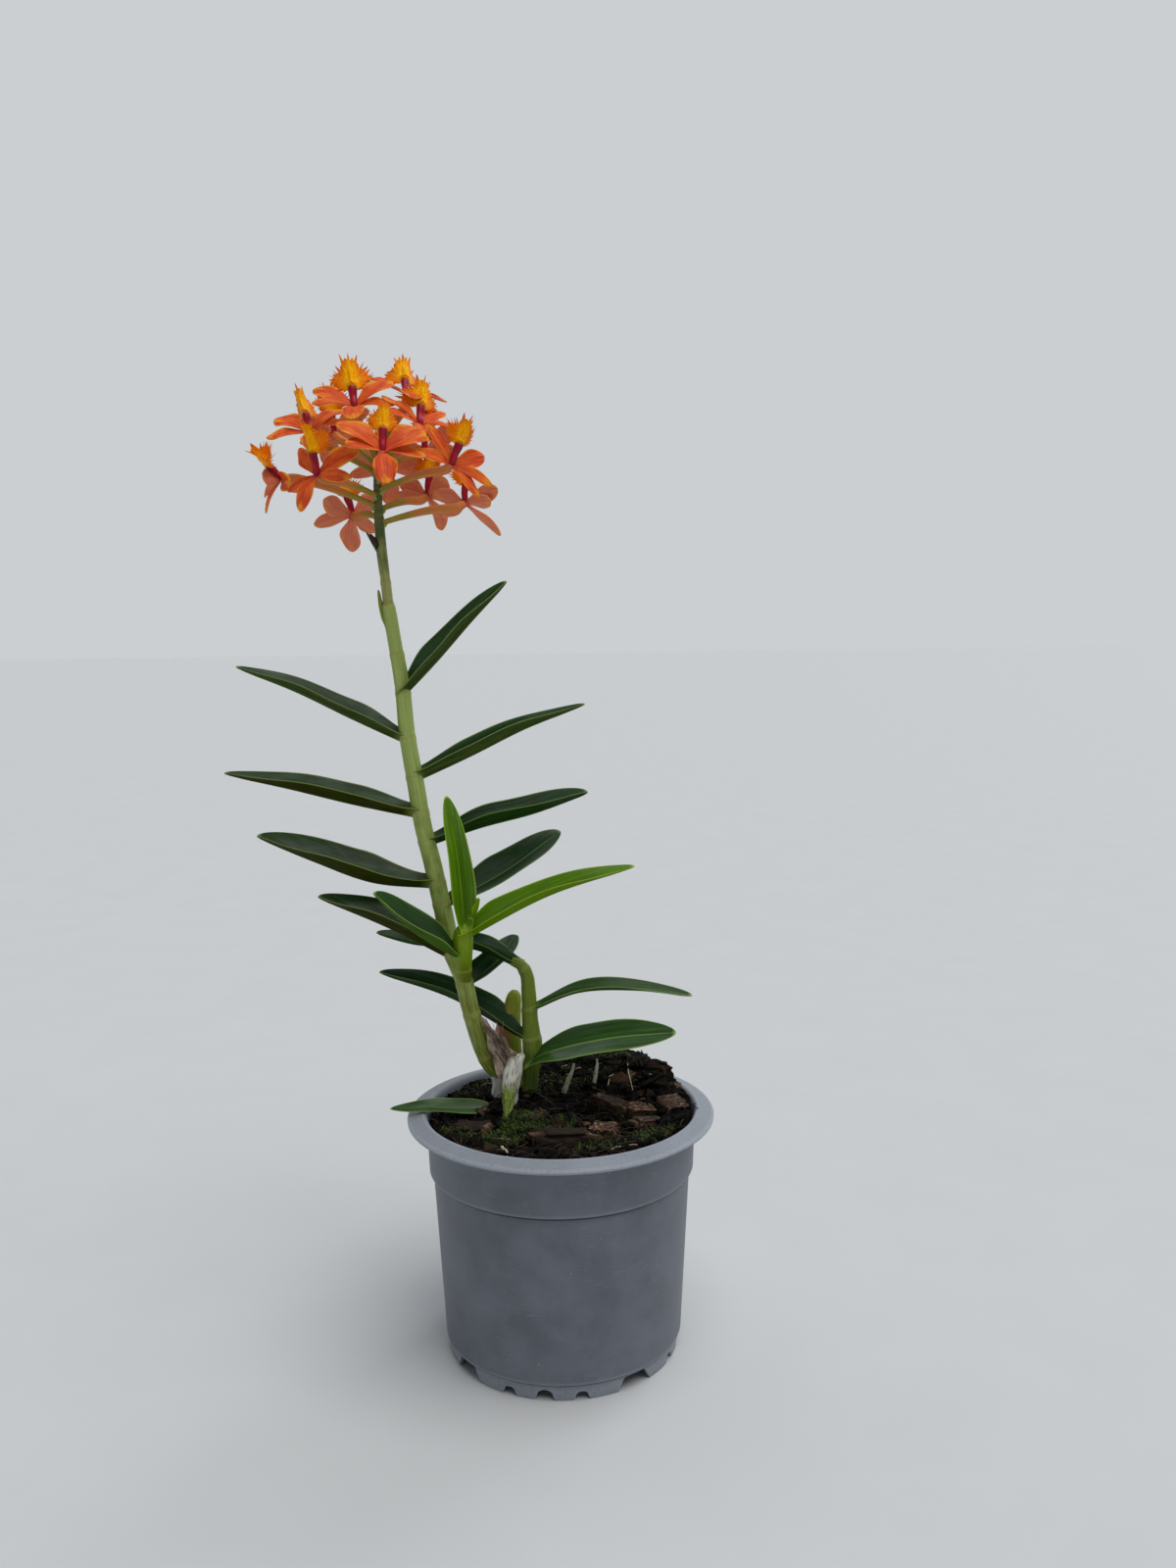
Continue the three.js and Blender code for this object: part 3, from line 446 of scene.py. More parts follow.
def with_middles(grid):
    """A grid's rows one after another, with the means of its first and last row after them."""
    return np.concatenate([grid.reshape(-1, *grid.shape[2:]), [grid[0].mean(0)], [grid[-1].mean(0)]])


class Shape:
    """The points, faces and per-point values of one mesh, in millimetres."""

    def __init__(self):
        self.points, self.faces, self.values = [], [], []
        self.count = 0

    def add(self, points, faces, **values):
        """Adds a block of points (n x 3) with faces that count from its first point."""
        points = np.asarray(points, float)
        self.points.append(points)
        self.faces.extend([[i + self.count for i in face] for face in faces])
        self.values.append((len(points), values))
        self.count += len(points)
        return self

    def add_skin(self, rings, **values):
        """Adds a closed skin over rings (rows x columns x 3). A value is one number, or is
        spread over the rows and columns, and may be a vector a point."""
        given = {}
        for key, value in values.items():
            if np.ndim(value):
                size = rings.shape[:2] + np.shape(value)[2:]
                value = with_middles(np.array(np.broadcast_to(value, size), float))
            given[key] = value
        return self.add(with_middles(rings), skin_faces(*rings.shape[:2]), **given)

    def value(self, name):
        """One number or vector a point, 0 where a block doesn't give it."""
        wide = any(np.ndim(values.get(name, 0)) == 2 for _, values in self.values)
        blocks = []
        for count, values in self.values:
            block = np.zeros((count, 3)) if wide else np.zeros(count)
            block[:] = values.get(name, 0)
            blocks.append(block)
        return np.concatenate(blocks)


def new_object(name, shape):
    """An object of the frame, in metres, with the shape's values as attributes."""
    mesh = bpy.data.meshes.new(name)
    points = np.concatenate(shape.points) * MM + POT_AXIS
    mesh.from_pydata(points.tolist(), [], shape.faces)
    for key in sorted({key for _, values in shape.values for key in values}):
        data = shape.value(key)
        kind, field = ("FLOAT", "value") if data.ndim == 1 else ("FLOAT_VECTOR", "vector")
        mesh.attributes.new(key, kind, "POINT").data.foreach_set(field, data.ravel())
    work = bmesh.new()
    work.from_mesh(mesh)
    bmesh.ops.recalc_face_normals(work, faces=work.faces)
    work.to_mesh(mesh)
    work.free()
    piece = bpy.data.objects.new(name, mesh)
    bpy.context.scene.collection.objects.link(piece)
    return piece


def finish_piece(name, shape, material, replaces=(), sharp=None, under=None):
    """Turns a shape into a piece that rides on the plant's one body. With a second
    material, under, that one covers the faces whose inner value is low."""
    piece = new_object(name, shape)
    mesh = piece.data
    mesh.materials.append(material)
    if under:
        mesh.materials.append(under)
        inner = shape.value("inner")
        for face in mesh.polygons:
            face.material_index = int(inner[list(face.vertices)].mean() < 0.5)
    mesh.shade_smooth()
    if sharp is not None:
        mesh.set_sharp_from_angle(angle=math.radians(sharp))
    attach(piece, "root")
    if replaces:
        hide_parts(*replaces)
    return piece


def smoothstep(x):
    x = np.clip(x, 0, 1)
    return x * x * (3 - 2 * x)


def bell(x):
    return np.exp(-(x**2))


def unit(vectors):
    vectors = np.asarray(vectors, float)
    return vectors / np.maximum(np.linalg.norm(vectors, axis=-1, keepdims=True), 1e-9)


def rough(points, scale, seed):
    """Smooth noise from -1 to 1 at each point of a grid; scale is the size of its lumps."""
    offset = Vector((seed * 7.3, seed * 3.1, seed * 5.7))
    values = [noise.noise(Vector(p) / scale + offset) for p in points.reshape(-1, 3)]
    return np.reshape(values, points.shape[:-1])


def ramp(t, start, end, a, b):
    """From a to b as t runs from start to end."""
    return (end - t) / (end - start) * a + (t - start) / (end - start) * b


def smooth_curve(stations):
    """Points close together on the centripetal Catmull-Rom curve through the stations, and
    how far along it they are. Columns past the third, such as a radius, run along."""
    stations = np.asarray(stations, float)
    first = 2 * stations[0] - stations[1]
    last = 2 * stations[-1] - stations[-2]
    knots = np.vstack([first, stations, last])
    fine = []
    for p0, p1, p2, p3 in zip(knots, knots[1:], knots[2:], knots[3:]):
        gaps = [np.linalg.norm((b - a)[:3]) ** 0.5 for a, b in ((p0, p1), (p1, p2), (p2, p3))]
        t0, t1, t2, t3 = np.cumsum([0, *gaps])
        t = np.linspace(t1, t2, CURVE_STEPS, endpoint=False)[:, None]
        a1, a2, a3 = ramp(t, t0, t1, p0, p1), ramp(t, t1, t2, p1, p2), ramp(t, t2, t3, p2, p3)
        b1, b2 = ramp(t, t0, t2, a1, a2), ramp(t, t1, t3, a2, a3)
        fine.append(ramp(t, t1, t2, b1, b2))
    fine = np.vstack([*fine, stations[-1:]])
    gaps = np.linalg.norm(np.diff(fine[:, :3], axis=0), axis=1)
    return fine, np.concatenate([[0], np.cumsum(gaps)])


def follow(stations, shares):
    """Values, directions and the whole length of the smooth curve, at shares of its length."""
    fine, runs = smooth_curve(stations)
    slopes = np.gradient(fine[:, :3], runs, axis=0)
    at = shares * runs[-1]
    values, along = (stack(*(np.interp(at, runs, column) for column in table.T)) for table in (fine, slopes))
    return values, unit(along), runs[-1]


def frames(along, up):
    """The directions to the side and upwards at each point of a curve."""
    side = unit(np.cross(along, np.asarray(up, float)))
    return side, np.cross(side, along)


def add_stem(shape, stations, sides, rows, swelling=None, up=STEM_UP, **values):
    """A round stem through [x, y, z, radius] stations. swelling, which is added to the
    radius, and values may be functions of the angle round it and the run, which is in
    millimetres from its base."""
    shares = np.linspace(0, 1, rows)
    spots, along, length = follow(stations, shares)
    side, lift = frames(along, up)
    angle = np.linspace(0, 2 * math.pi, sides, endpoint=False)[None, :]
    run = (shares * length)[:, None]
    radius = spots[:, 3:4] + 0 * angle
    if swelling:
        radius = radius + swelling(angle, run)
    cos, sin = np.cos(angle), np.sin(angle)
    way = side[:, None] * cos[..., None] + lift[:, None] * sin[..., None]
    given = {"grain": stack(radius * cos, radius * sin, run), "along": shares[:, None]}
    for key, value in values.items():
        given[key] = value(angle, run) if callable(value) else value
    return shape.add_skin(spots[:, None, :3] + way * radius[..., None], **given)


def rod(foot, way, rows, aside=UPRIGHT):
    """Stations of a stem: each row is how far out it is along way, how far aside, and its radius."""
    return [[*(foot + way * out + aside * off), radius] for out, off, radius in rows]


# ------------------------------------------------------------------ material helpers

class NodeTree:
    """A tree of shader nodes, built step by step. Colours are linear red, green, blue."""

    def __init__(self, tree):
        self.tree = tree

    def node(self, kind, inputs=(), **settings):
        made = self.tree.nodes.new("ShaderNode" + kind)
        for key, value in settings.items():
            setattr(made, key, value)
        for key, value in dict(inputs).items():
            self.put(made.inputs[key], value)
        return made

    def put(self, socket, value):
        if isinstance(value, bpy.types.NodeSocket):
            self.tree.links.new(value, socket)
        elif isinstance(value, tuple) and len(value) == 3 and socket.type == "RGBA":
            socket.default_value = (*value, 1)
        else:
            socket.default_value = value

    def math(self, operation, a, b, clamp=False):
        return self.node("Math", {0: a, 1: b}, operation=operation, use_clamp=clamp).outputs[0]

    def times(self, a, b, clamp=False):
        return self.math("MULTIPLY", a, b, clamp)

    def plus(self, a, b):
        return self.math("ADD", a, b)

    def range(self, value, low, high, to_low=0.0, to_high=1.0):
        """value from low to high, made to run from to_low to to_high."""
        given = {"Value": value, "From Min": low, "From Max": high, "To Min": to_low, "To Max": to_high}
        return self.node("MapRange", given, interpolation_type="SMOOTHSTEP").outputs["Result"]

    def mix(self, share, a, b):
        return self.node("Mix", {0: share, 6: a, 7: b}, data_type="RGBA").outputs[2]

    def blend(self, a, b, value, low, high, *ends):
        """Colour a, turning into b as value runs from low to high, or by the shares in ends."""
        return self.mix(self.range(value, low, high, *ends), a, b)


SHADER_SOCKETS = {
    "specular": "Specular IOR Level", "subsurface": "Subsurface Weight",
    "subsurface_scale": "Subsurface Scale",
}


class Look(NodeTree):
    """A material with its shader."""

    def __init__(self, name, roughness, **settings):
        self.material = bpy.data.materials.new(name)
        self.material.use_nodes = True
        super().__init__(self.material.node_tree)
        self.shader = self.tree.nodes["Principled BSDF"]
        self.shader.inputs["Roughness"].default_value = roughness
        for key, value in settings.items():
            self.shader.inputs[SHADER_SOCKETS[key]].default_value = value

    def value(self, name):
        """A per-point number of the mesh."""
        return self.node("Attribute", attribute_name=name).outputs["Fac"]

    def grain(self, *stretch):
        """The mesh's own coordinates, in millimetres times stretch; the third is its length."""
        place = self.node("Attribute", attribute_name="grain").outputs["Vector"]
        return self.node("Mapping", {"Vector": place, "Scale": stretch}).outputs["Vector"]

    def place(self, *stretch):
        """The object's own coordinates, in millimetres times stretch."""
        size = tuple(way / MM for way in stretch or (1, 1, 1))
        place = self.node("TexCoord").outputs["Object"]
        return self.node("Mapping", {"Vector": place, "Scale": size}).outputs["Vector"]

    def noise(self, vector, scale, detail, roughness=0.55, distortion=0.0):
        """scale is how many lumps fit in a millimetre."""
        given = {"Vector": vector, "Scale": scale, "Detail": detail, "Roughness": roughness}
        return self.node("TexNoise", {**given, "Distortion": distortion}).outputs["Fac"]

    def streaks(self, stretch, detail, roughness=0.55):
        """Noise that is drawn out along the mesh's own coordinates."""
        return self.noise(self.grain(*stretch), 1.0, detail, roughness)

    def cells(self, vector, scale):
        return self.node("TexVoronoi", {"Vector": vector, "Scale": scale}).outputs["Distance"]

    def colour(self, value):
        self.put(self.shader.inputs["Base Color"], value)

    def roughness(self, value):
        self.put(self.shader.inputs["Roughness"], value)

    def bump(self, height, strength, distance):
        """distance is the relief's depth in millimetres."""
        given = {"Height": height, "Strength": strength, "Distance": distance * MM}
        made = self.node("Bump", given)
        before = self.shader.inputs["Normal"].links
        if before:
            self.put(made.inputs["Normal"], before[0].from_socket)
        self.put(self.shader.inputs["Normal"], made.outputs["Normal"])


def shade(colour, factor, more=0.0):
    return tuple(channel * factor + more for channel in colour)


# ------------------------------------------------------------------ materials

def pot_plastic():
    """Grey recycled plastic: cloudy and scuffed, with painted light making its rim and foot paler and
    painted shade darkening its grooves.
    """
    look = Look("pot_plastic", roughness=0.48, specular=0.4)
    place = look.place()
    cloudy = look.noise(place, 0.045, detail=5, roughness=0.6)
    tone = look.blend((0.095, 0.107, 0.132), (0.143, 0.158, 0.190), cloudy, 0.3, 0.7)
    scratches = look.noise(look.place(0.15, 0.15, 0.9), 1.0, detail=6, roughness=0.7, distortion=1.5)
    patches = look.range(look.noise(place, 0.05, detail=2), 0.46, 0.66)
    scuffs = look.times(look.range(scratches, 0.55, 0.66), patches)
    dots = look.range(look.cells(place, 0.17), 0.0, 0.09, 1.0, 0.0)
    marks = look.math("MAXIMUM", look.times(scuffs, 0.28), look.times(dots, 0.6))
    scuffed = look.mix(marks, tone, (0.30, 0.33, 0.37))
    marked = look.blend(scuffed, (0.030, 0.033, 0.040), look.cells(place, 0.23), 0.0, 0.07, 0.8, 0.0)
    # Painted light and shade from the pot outline's values, broken up by noise: paler as a painted highlight
    # on the rim, the band's edge and the foot.
    painted_light_noise = look.noise(place, 0.8, detail=5, roughness=0.7)
    worn = look.value("worn")
    pale = look.times(worn, look.range(painted_light_noise, 0.2, 0.6, 0.55, 1.0), clamp=True)
    edged = look.mix(pale, marked, (0.31, 0.34, 0.39))
    # Painted shade in the grooves under the rim, under the band and at the foot's step, where the outline's
    # value is negative.
    painted_shade = look.times(worn, look.range(painted_light_noise, 0.3, 0.7, -1.0, -0.6), clamp=True)
    look.colour(look.mix(painted_shade, edged, (0.012, 0.013, 0.015)))
    look.roughness(look.range(cloudy, 0.3, 0.7, 0.40, 0.56))
    look.bump(look.noise(place, 2.2, detail=3), 0.25, 0.05)
    look.bump(cloudy, 0.3, 0.25)
    return look.material


def soil():
    """The ground between the crumbs: nearly black, greenish in places."""
    look = Look("potting_mix", roughness=0.9, specular=0.03)
    place = look.place()
    crumbs = look.noise(place, 0.5, detail=8, roughness=0.7)
    tone = look.blend((0.0008, 0.0007, 0.0006), (0.006, 0.0044, 0.0032), crumbs, 0.35, 0.75)
    green = look.noise(place, 0.08, detail=3)
    look.colour(look.blend(tone, (0.005, 0.009, 0.002), green, 0.56, 0.72))
    look.bump(crumbs, 0.9, 1.2)
    look.bump(look.cells(place, 0.9), 0.5, 0.6)
    return look.material


def crumb():
    """Bits of bark and fibre: nearly all black-brown, a few red-brown or tan by their tone."""
    look = Look("mix_crumbs", roughness=0.85, specular=0.07)
    fine = look.noise(look.place(), 1.3, detail=6, roughness=0.7)
    tone = look.value("tone")
    dark = look.mix(fine, (0.0006, 0.0005, 0.0004), (0.0070, 0.0058, 0.0042))
    red = look.mix(fine, (0.008, 0.0045, 0.003), (0.036, 0.019, 0.012))
    tan = look.mix(fine, (0.040, 0.026, 0.014), (0.17, 0.115, 0.068))
    look.colour(look.blend(look.blend(dark, red, tone, 0.80, 0.95), tan, tone, 0.965, 0.99))
    look.bump(fine, 0.8, 0.4)
    return look.material


def bark():
    """Split bark: dark or red-brown by its tone, with pale flakes and paler broken ends."""
    look = Look("bark", roughness=0.85, specular=0.15)
    fibres = look.streaks((0.25, 2.2, 2.2), detail=6, roughness=0.65)
    lumps = look.noise(look.place(), 0.6, detail=5)
    tone = look.value("tone")
    fine = look.range(fibres, 0.35, 0.68)
    dark = look.mix(fine, (0.0025, 0.0018, 0.0013), (0.030, 0.019, 0.012))
    light = look.mix(fine, (0.014, 0.008, 0.005), (0.115, 0.064, 0.044))
    body = look.blend(dark, light, tone, 0.1, 1.0)
    flakes = look.range(look.streaks((0.5, 1.4, 1.4), detail=2), 0.56, 0.62)
    flaked = look.mix(look.times(flakes, look.range(tone, 0.2, 0.9)), body, (0.30, 0.19, 0.135))
    edge = look.plus(look.value("edge"), look.times(lumps, 0.6))
    look.colour(look.blend(flaked, (0.15, 0.095, 0.06), edge, 1.0, 1.35))
    look.bump(fibres, 0.8, 0.5)
    look.bump(lumps, 0.6, 0.8)
    return look.material


def fibre():
    look = Look("mix_fibres", roughness=0.8, specular=0.3)
    tone = look.value("tone")
    brown = look.blend((0.004, 0.003, 0.002), (0.070, 0.042, 0.022), tone, 0.0, 0.85)
    look.colour(look.blend(brown, (0.40, 0.34, 0.25), tone, 0.88, 0.96))
    look.bump(look.noise(look.place(), 3.0, detail=3), 0.5, 0.1)
    return look.material


def moss():
    look = Look("moss", roughness=0.75, specular=0.3)
    fine = look.noise(look.place(), 1.0, detail=3)
    dark = look.mix(fine, (0.004, 0.011, 0.002), (0.018, 0.042, 0.006))
    look.colour(look.blend(dark, (0.13, 0.22, 0.014), look.value("tone"), 0.6, 1.0))
    return look.material


def stem(name):
    """Living cane: two greens along it, lengthwise stripes and brownish node rings."""
    low, high, ring = STEM_COLOURS[name]
    look = Look(name, roughness=0.42, specular=0.2)
    stripes = look.streaks((1.7, 1.7, 0.035), detail=4, roughness=0.7)
    patches = look.streaks((0.25, 0.25, 0.12), detail=3)
    along = look.plus(look.value("along"), look.range(patches, 0.3, 0.7, -0.18, 0.18))
    base = look.blend(low, high, along, 0.02, 0.62)
    lined = look.blend(base, shade(high, 1.45, 0.02), stripes, 0.45, 0.72, 0.0, 0.55)
    shaded = look.blend(lined, shade(low, 0.55), stripes, 0.28, 0.42, 0.5, 0.0)
    speck = look.range(look.cells(look.grain(0.9, 0.9, 0.5), 1.0), 0.02, 0.12, 0.5, 0.0)
    marked = look.mix(look.times(speck, patches), shaded, ring)
    look.colour(look.mix(look.times(look.value("ring"), 0.7), marked, ring))
    look.bump(stripes, 0.35, 0.25)
    return look.material


def leaf_side(name, dark, light, pale, roughness, specular):
    """One side of a leathery leaf: lengthwise veins, a light margin, midrib, base and tip."""
    look = Look(name, roughness=roughness, specular=specular)
    veins = look.streaks((2.4, 1.0, 0.015), detail=3, roughness=0.6)
    broad = look.streaks((0.55, 1.0, 0.02), detail=3)
    patches = look.streaks((0.3, 1.0, 0.10), detail=4)
    across, along = look.value("across"), look.value("along")
    streaks = look.plus(look.times(veins, 0.45), look.times(broad, 0.55))
    body = look.blend(dark, light, streaks, 0.36, 0.66)
    clouded = look.blend(body, shade(dark, 0.55), patches, 0.4, 0.75, 0.0, 0.45)
    ribbed = look.blend(clouded, pale, across, 0.0, 0.075, 0.75, 0.0)
    edged = look.blend(ribbed, shade(pale, 1.1), across, 0.925, 0.98, 0.0, 0.85)
    based = look.blend(edged, shade(pale, 1.5), along, 0.0, 0.09, 0.75, 0.0)
    look.colour(look.blend(based, shade(pale, 1.6), along, 0.97, 1.0, 0.0, 0.7))
    look.roughness(look.range(patches, 0.3, 0.7, roughness - 0.07, roughness + 0.09))
    look.bump(streaks, 0.45, 0.35)
    look.bump(patches, 0.25, 0.5)
    return look.material


def leaf(name, inner, outer, pale, streak):
    """The two sides of a leaf: the glossier face, and the duller back that shows more."""
    face = leaf_side(name, inner, shade(inner, streak, 0.003), pale, 0.33, 0.24)
    back = leaf_side(name + "_back", outer, shade(outer, streak * 0.75), pale, 0.55, 0.02)
    return face, back


def root():
    """A root's papery grey-white skin, cracked along its length and green where it is mossy."""
    look = Look("root", roughness=0.85, specular=0.25)
    fine = look.streaks((1.4, 1.4, 0.35), detail=5, roughness=0.7)
    white = look.mix(fine, (0.36, 0.36, 0.30), (0.62, 0.61, 0.55))
    cracks = look.streaks((1.5, 1.5, 0.09), detail=5)
    cracked = look.blend(white, (0.11, 0.095, 0.075), cracks, 0.36, 0.47, 0.95, 0.0)
    patches = look.streaks((0.5, 0.5, 0.4), detail=5, roughness=0.7)
    green = look.blend((0.030, 0.060, 0.008), (0.26, 0.32, 0.06), fine, 0.35, 0.65)
    look.colour(look.blend(cracked, green, look.plus(look.value("moss"), patches), 0.72, 1.05))
    look.bump(fine, 0.8, 0.35)
    return look.material


def husk():
    """Dry brown and pale papery skin with fibres along it."""
    look = Look("dry_husk", roughness=0.85, specular=0.3)
    fibres = look.streaks((2.8, 1.0, 0.06), detail=5, roughness=0.75)
    patches = look.streaks((0.5, 1.0, 0.2), detail=4)
    fine = look.range(fibres, 0.3, 0.7)
    pale = look.mix(fine, (0.12, 0.085, 0.062), (0.46, 0.38, 0.30))
    brown = look.mix(fine, (0.040, 0.022, 0.016), (0.17, 0.105, 0.075))
    look.colour(look.blend(brown, pale, patches, 0.38, 0.56))
    look.bump(fibres, 0.9, 0.4)
    return look.material


def tepal():
    """Sepals and petals: coral in front with orange edges and tip, and salmon behind, made paler by painted
    light from behind shining through.
    """
    look = Look("petal", roughness=0.42, specular=0.08, subsurface=0.25, subsurface_scale=0.0006)
    veins = look.streaks((3.4, 1.0, 0.09), detail=3, roughness=0.6)
    broad = look.streaks((0.35, 1.0, 0.13), detail=3)
    along, across = look.value("along"), look.value("across")
    coral = look.blend((0.45, 0.036, 0.011), (0.76, 0.105, 0.024), veins, 0.30, 0.72)
    warm = look.blend(coral, (0.80, 0.165, 0.022), broad, 0.38, 0.66, 0.0, 0.75)
    wander = look.range(broad, 0.3, 0.7, -0.13, 0.13)
    tip = look.range(look.plus(along, wander), 0.74, 1.0, 0.0, 0.75)
    margin = look.range(look.plus(across, wander), 0.78, 1.0, 0.0, 0.85)
    edge = look.times(look.math("MAXIMUM", tip, margin), look.range(along, 0.1, 0.6))
    front = look.mix(edge, warm, (0.86, 0.33, 0.020))
    # The salmon back is paler than the tepal's own colour: painted light from behind shining through it.
    backlit_salmon = look.blend((0.62, 0.165, 0.082), (0.86, 0.300, 0.170), veins, 0.25, 0.8)
    back = look.mix(look.times(edge, 0.6), backlit_salmon, (0.86, 0.38, 0.09))
    both = look.mix(look.value("inner"), back, front)
    look.colour(look.blend(both, (0.50, 0.035, 0.040), along, 0.0, 0.2, 0.55, 0.0))
    look.bump(veins, 0.4, 0.18)
    return look.material


def column_skin():
    """Dark red, with an orange end."""
    look = Look("column", roughness=0.38, specular=0.2)
    streaks = look.streaks((1.5, 1.5, 0.2), detail=4)
    body = look.blend((0.20, 0.003, 0.010), (0.42, 0.008, 0.026), streaks, 0.35, 0.7)
    look.colour(look.blend(body, (0.70, 0.26, 0.02), look.value("along"), 0.84, 0.97))
    look.bump(streaks, 0.3, 0.15)
    return look.material


def lip_skin():
    """The lip: yellow down its middle, orange lobes, orange-red tips on its teeth."""
    look = Look("lip", roughness=0.5, specular=0.04, subsurface=0.3, subsurface_scale=0.0008)
    fine = look.noise(look.place(), 1.5, detail=4, roughness=0.6)
    yellow = look.blend((0.92, 0.32, 0.002), (1.0, 0.52, 0.004), fine, 0.3, 0.7)
    orange = look.mix(fine, (0.66, 0.13, 0.004), (0.92, 0.27, 0.006))
    heart = look.plus(look.value("heart"), look.range(fine, 0.3, 0.7, -0.14, 0.14))
    body = look.blend(orange, yellow, heart, 0.2, 0.8)
    teeth = look.plus(look.value("fringe"), look.times(fine, 0.2))
    look.colour(look.blend(body, (0.50, 0.060, 0.014), teeth, 0.4, 1.0))
    look.bump(fine, 0.5, 0.3)
    return look.material


def flower_stem_skin():
    """Olive where it leaves the stalk, orange-brown towards the flower."""
    look = Look("flower_stem", roughness=0.45, specular=0.08)
    stripes = look.streaks((1.5, 1.5, 0.05), detail=4)
    patches = look.streaks((0.3, 0.3, 0.14), detail=3)
    green = look.mix(stripes, (0.20, 0.17, 0.020), (0.42, 0.31, 0.055))
    orange = look.mix(stripes, (0.46, 0.13, 0.032), (0.72, 0.27, 0.080))
    along = look.plus(look.value("along"), look.range(patches, 0.3, 0.7, -0.25, 0.25))
    look.colour(look.blend(green, orange, along, 0.05, 0.75))
    look.bump(stripes, 0.35, 0.25)
    return look.material


# ------------------------------------------------------------------ the pot

def foot_edge(degrees):
    """The height of the foot ring's lower edge at an angle round the pot."""
    turn = (degrees - FOOT_FIRST_GAP) % (360 / FOOT_ARCS)
    heights = [0.0]
    for angle, width, height, flare, arch in FOOT_CUTS:
        off = math.radians(abs(turn - angle)) * POT_OUTSIDE[0][0]
        half = width / 2
        rise = np.clip((half * (1 + flare) - off) / (flare * width), 0, 1)
        heights.append(rise * (height - arch + arch * max(0.0, 1 - (off / half) ** 2)))
    return max(heights)


def build_pot():
    """The wall turned from its outline, with the foot ring's edge raised at its cuts."""
    degrees = np.linspace(0, 360, POT_TURNS, endpoint=False)
    edge = np.array([foot_edge(a) for a in degrees])
    under = [(POT_FOOT_INSIDE, POT_FLOOR_UNDER, 0.0), (POT_FOOT_INSIDE, 0.0, 0.2)]
    outline = [*under, *POT_OUTSIDE, *POT_INSIDE]
    rings = []
    for radius, height, _ in outline:
        lifted = np.maximum(height, edge) if height < 1 else height
        rings.append(circle(radius, np.radians(degrees), lifted))
    # Each ring's painted light and shade: paler on the rim, the band's edge and the foot, darker in the
    # grooves.
    worn = np.array([[painted_amount] for _, _, painted_amount in outline])
    shape = Shape().add_skin(np.array(rings), worn=worn)
    pot = finish_piece("nursery_pot", shape, pot_plastic(), ["pot"], sharp=35)
    drill_drain_holes(pot)


def drill_drain_holes(pot):
    """Cuts the holes out of the floor and leaves the result as the pot's own mesh."""
    around = np.radians(np.arange(0, 360, 15))
    bits = Shape()
    for turn in np.arange(DRAIN_HOLES) * 2 * math.pi / DRAIN_HOLES:
        middle = circle(DRAIN_CIRCLE, turn, 0)
        ends = [circle(DRAIN_RADIUS, around, POT_FLOOR_UNDER + lift) for lift in (-2.0, 3.0)]
        bits.add_skin(middle + np.array(ends))
    drill = new_object("drill", bits)
    cut = pot.modifiers.new("drain_holes", "BOOLEAN")
    cut.operation = "DIFFERENCE"
    cut.solver = "EXACT"
    cut.object = drill
    seen = pot.evaluated_get(bpy.context.evaluated_depsgraph_get())
    mesh = bpy.data.meshes.new_from_object(seen)
    pot.modifiers.clear()
    pot.data = mesh
    bpy.data.objects.remove(drill)


# ------------------------------------------------------------------ the mix and what is on it

def mix_bank(x, y):
    """How much higher the mix lies near the wall, at the front and right."""
    radius = math.hypot(x, y)
    facing = 0.5 + 0.5 * (x * BANK_WAY[0] + y * BANK_WAY[1]) / max(1.0, radius)
    return BANK_RISE * facing * float(smoothstep((radius - BANK_FROM) / (BANK_TO - BANK_FROM)))


def ground_height(x, y):
    """The mix's surface: level, with heaps, a bank along the wall, lumps and crumbs."""
    height = MIX_LEVEL + mix_bank(x, y)
    for heap_x, heap_y, tall, spread in MIX_HEAPS:
        height += tall * math.exp(-((math.hypot(x - heap_x, y - heap_y) / spread) ** 2) / 2)
    for size, tall, seed in MIX_LUMPS:
        height += tall * noise.noise(Vector((x / size, y / size, seed)))
    return height


def build_mix():
    """The body of the mix: its side within the pot, and its surface from the wall inwards."""
    turn = np.linspace(0, 2 * math.pi, MIX_TURNS, endpoint=False)
    rings = [circle(radius, turn, height) for radius, height in MIX_WALL]
    for radius in np.linspace(MIX_EDGE, 0.8, MIX_STEPS):
        ring = circle(radius, turn, 0.0)
        ring[:, 2] = [ground_height(x, y) for x, y, _ in ring]
        rings.append(ring)
    shape = Shape().add_skin(np.array(rings))
    finish_piece("mix_body", shape, soil(), ["potting_mix"])


def ball(rows, columns):
    """Unit directions of a small ball, as rings from its bottom to its top."""
    tilt = np.linspace(-math.pi / 2, math.pi / 2, rows + 2)[1:-1, None]
    turn = np.linspace(0, 2 * math.pi, columns, endpoint=False)[None, :]
    return circle(np.cos(tilt), turn, np.sin(tilt))


def turned(points, rng, lean):
    """Points turned about the upright at random, and tipped by up to lean radians."""
    matrix = Matrix.Rotation(rng.uniform(0, 2 * math.pi), 3, "Z")
    tip = Matrix.Rotation(rng.uniform(-lean, lean), 3, "X")
    return points @ np.array(matrix @ tip).T


def inside_pot(points):
    """The points, with those past the pot's inner wall drawn in to it."""
    radius = np.hypot(points[..., 0], points[..., 1])
    share = np.minimum(1, (MIX_EDGE - 0.2) / np.maximum(radius, 1))
    return points * stack(share, share, 1)


def random_spot(rng, reach):
    """A spot within reach of the pot's axis, spread evenly over the mix."""
    radius = reach * math.sqrt(rng.random())
    turn = rng.uniform(0, 2 * math.pi)
    return radius * math.cos(turn), radius * math.sin(turn)


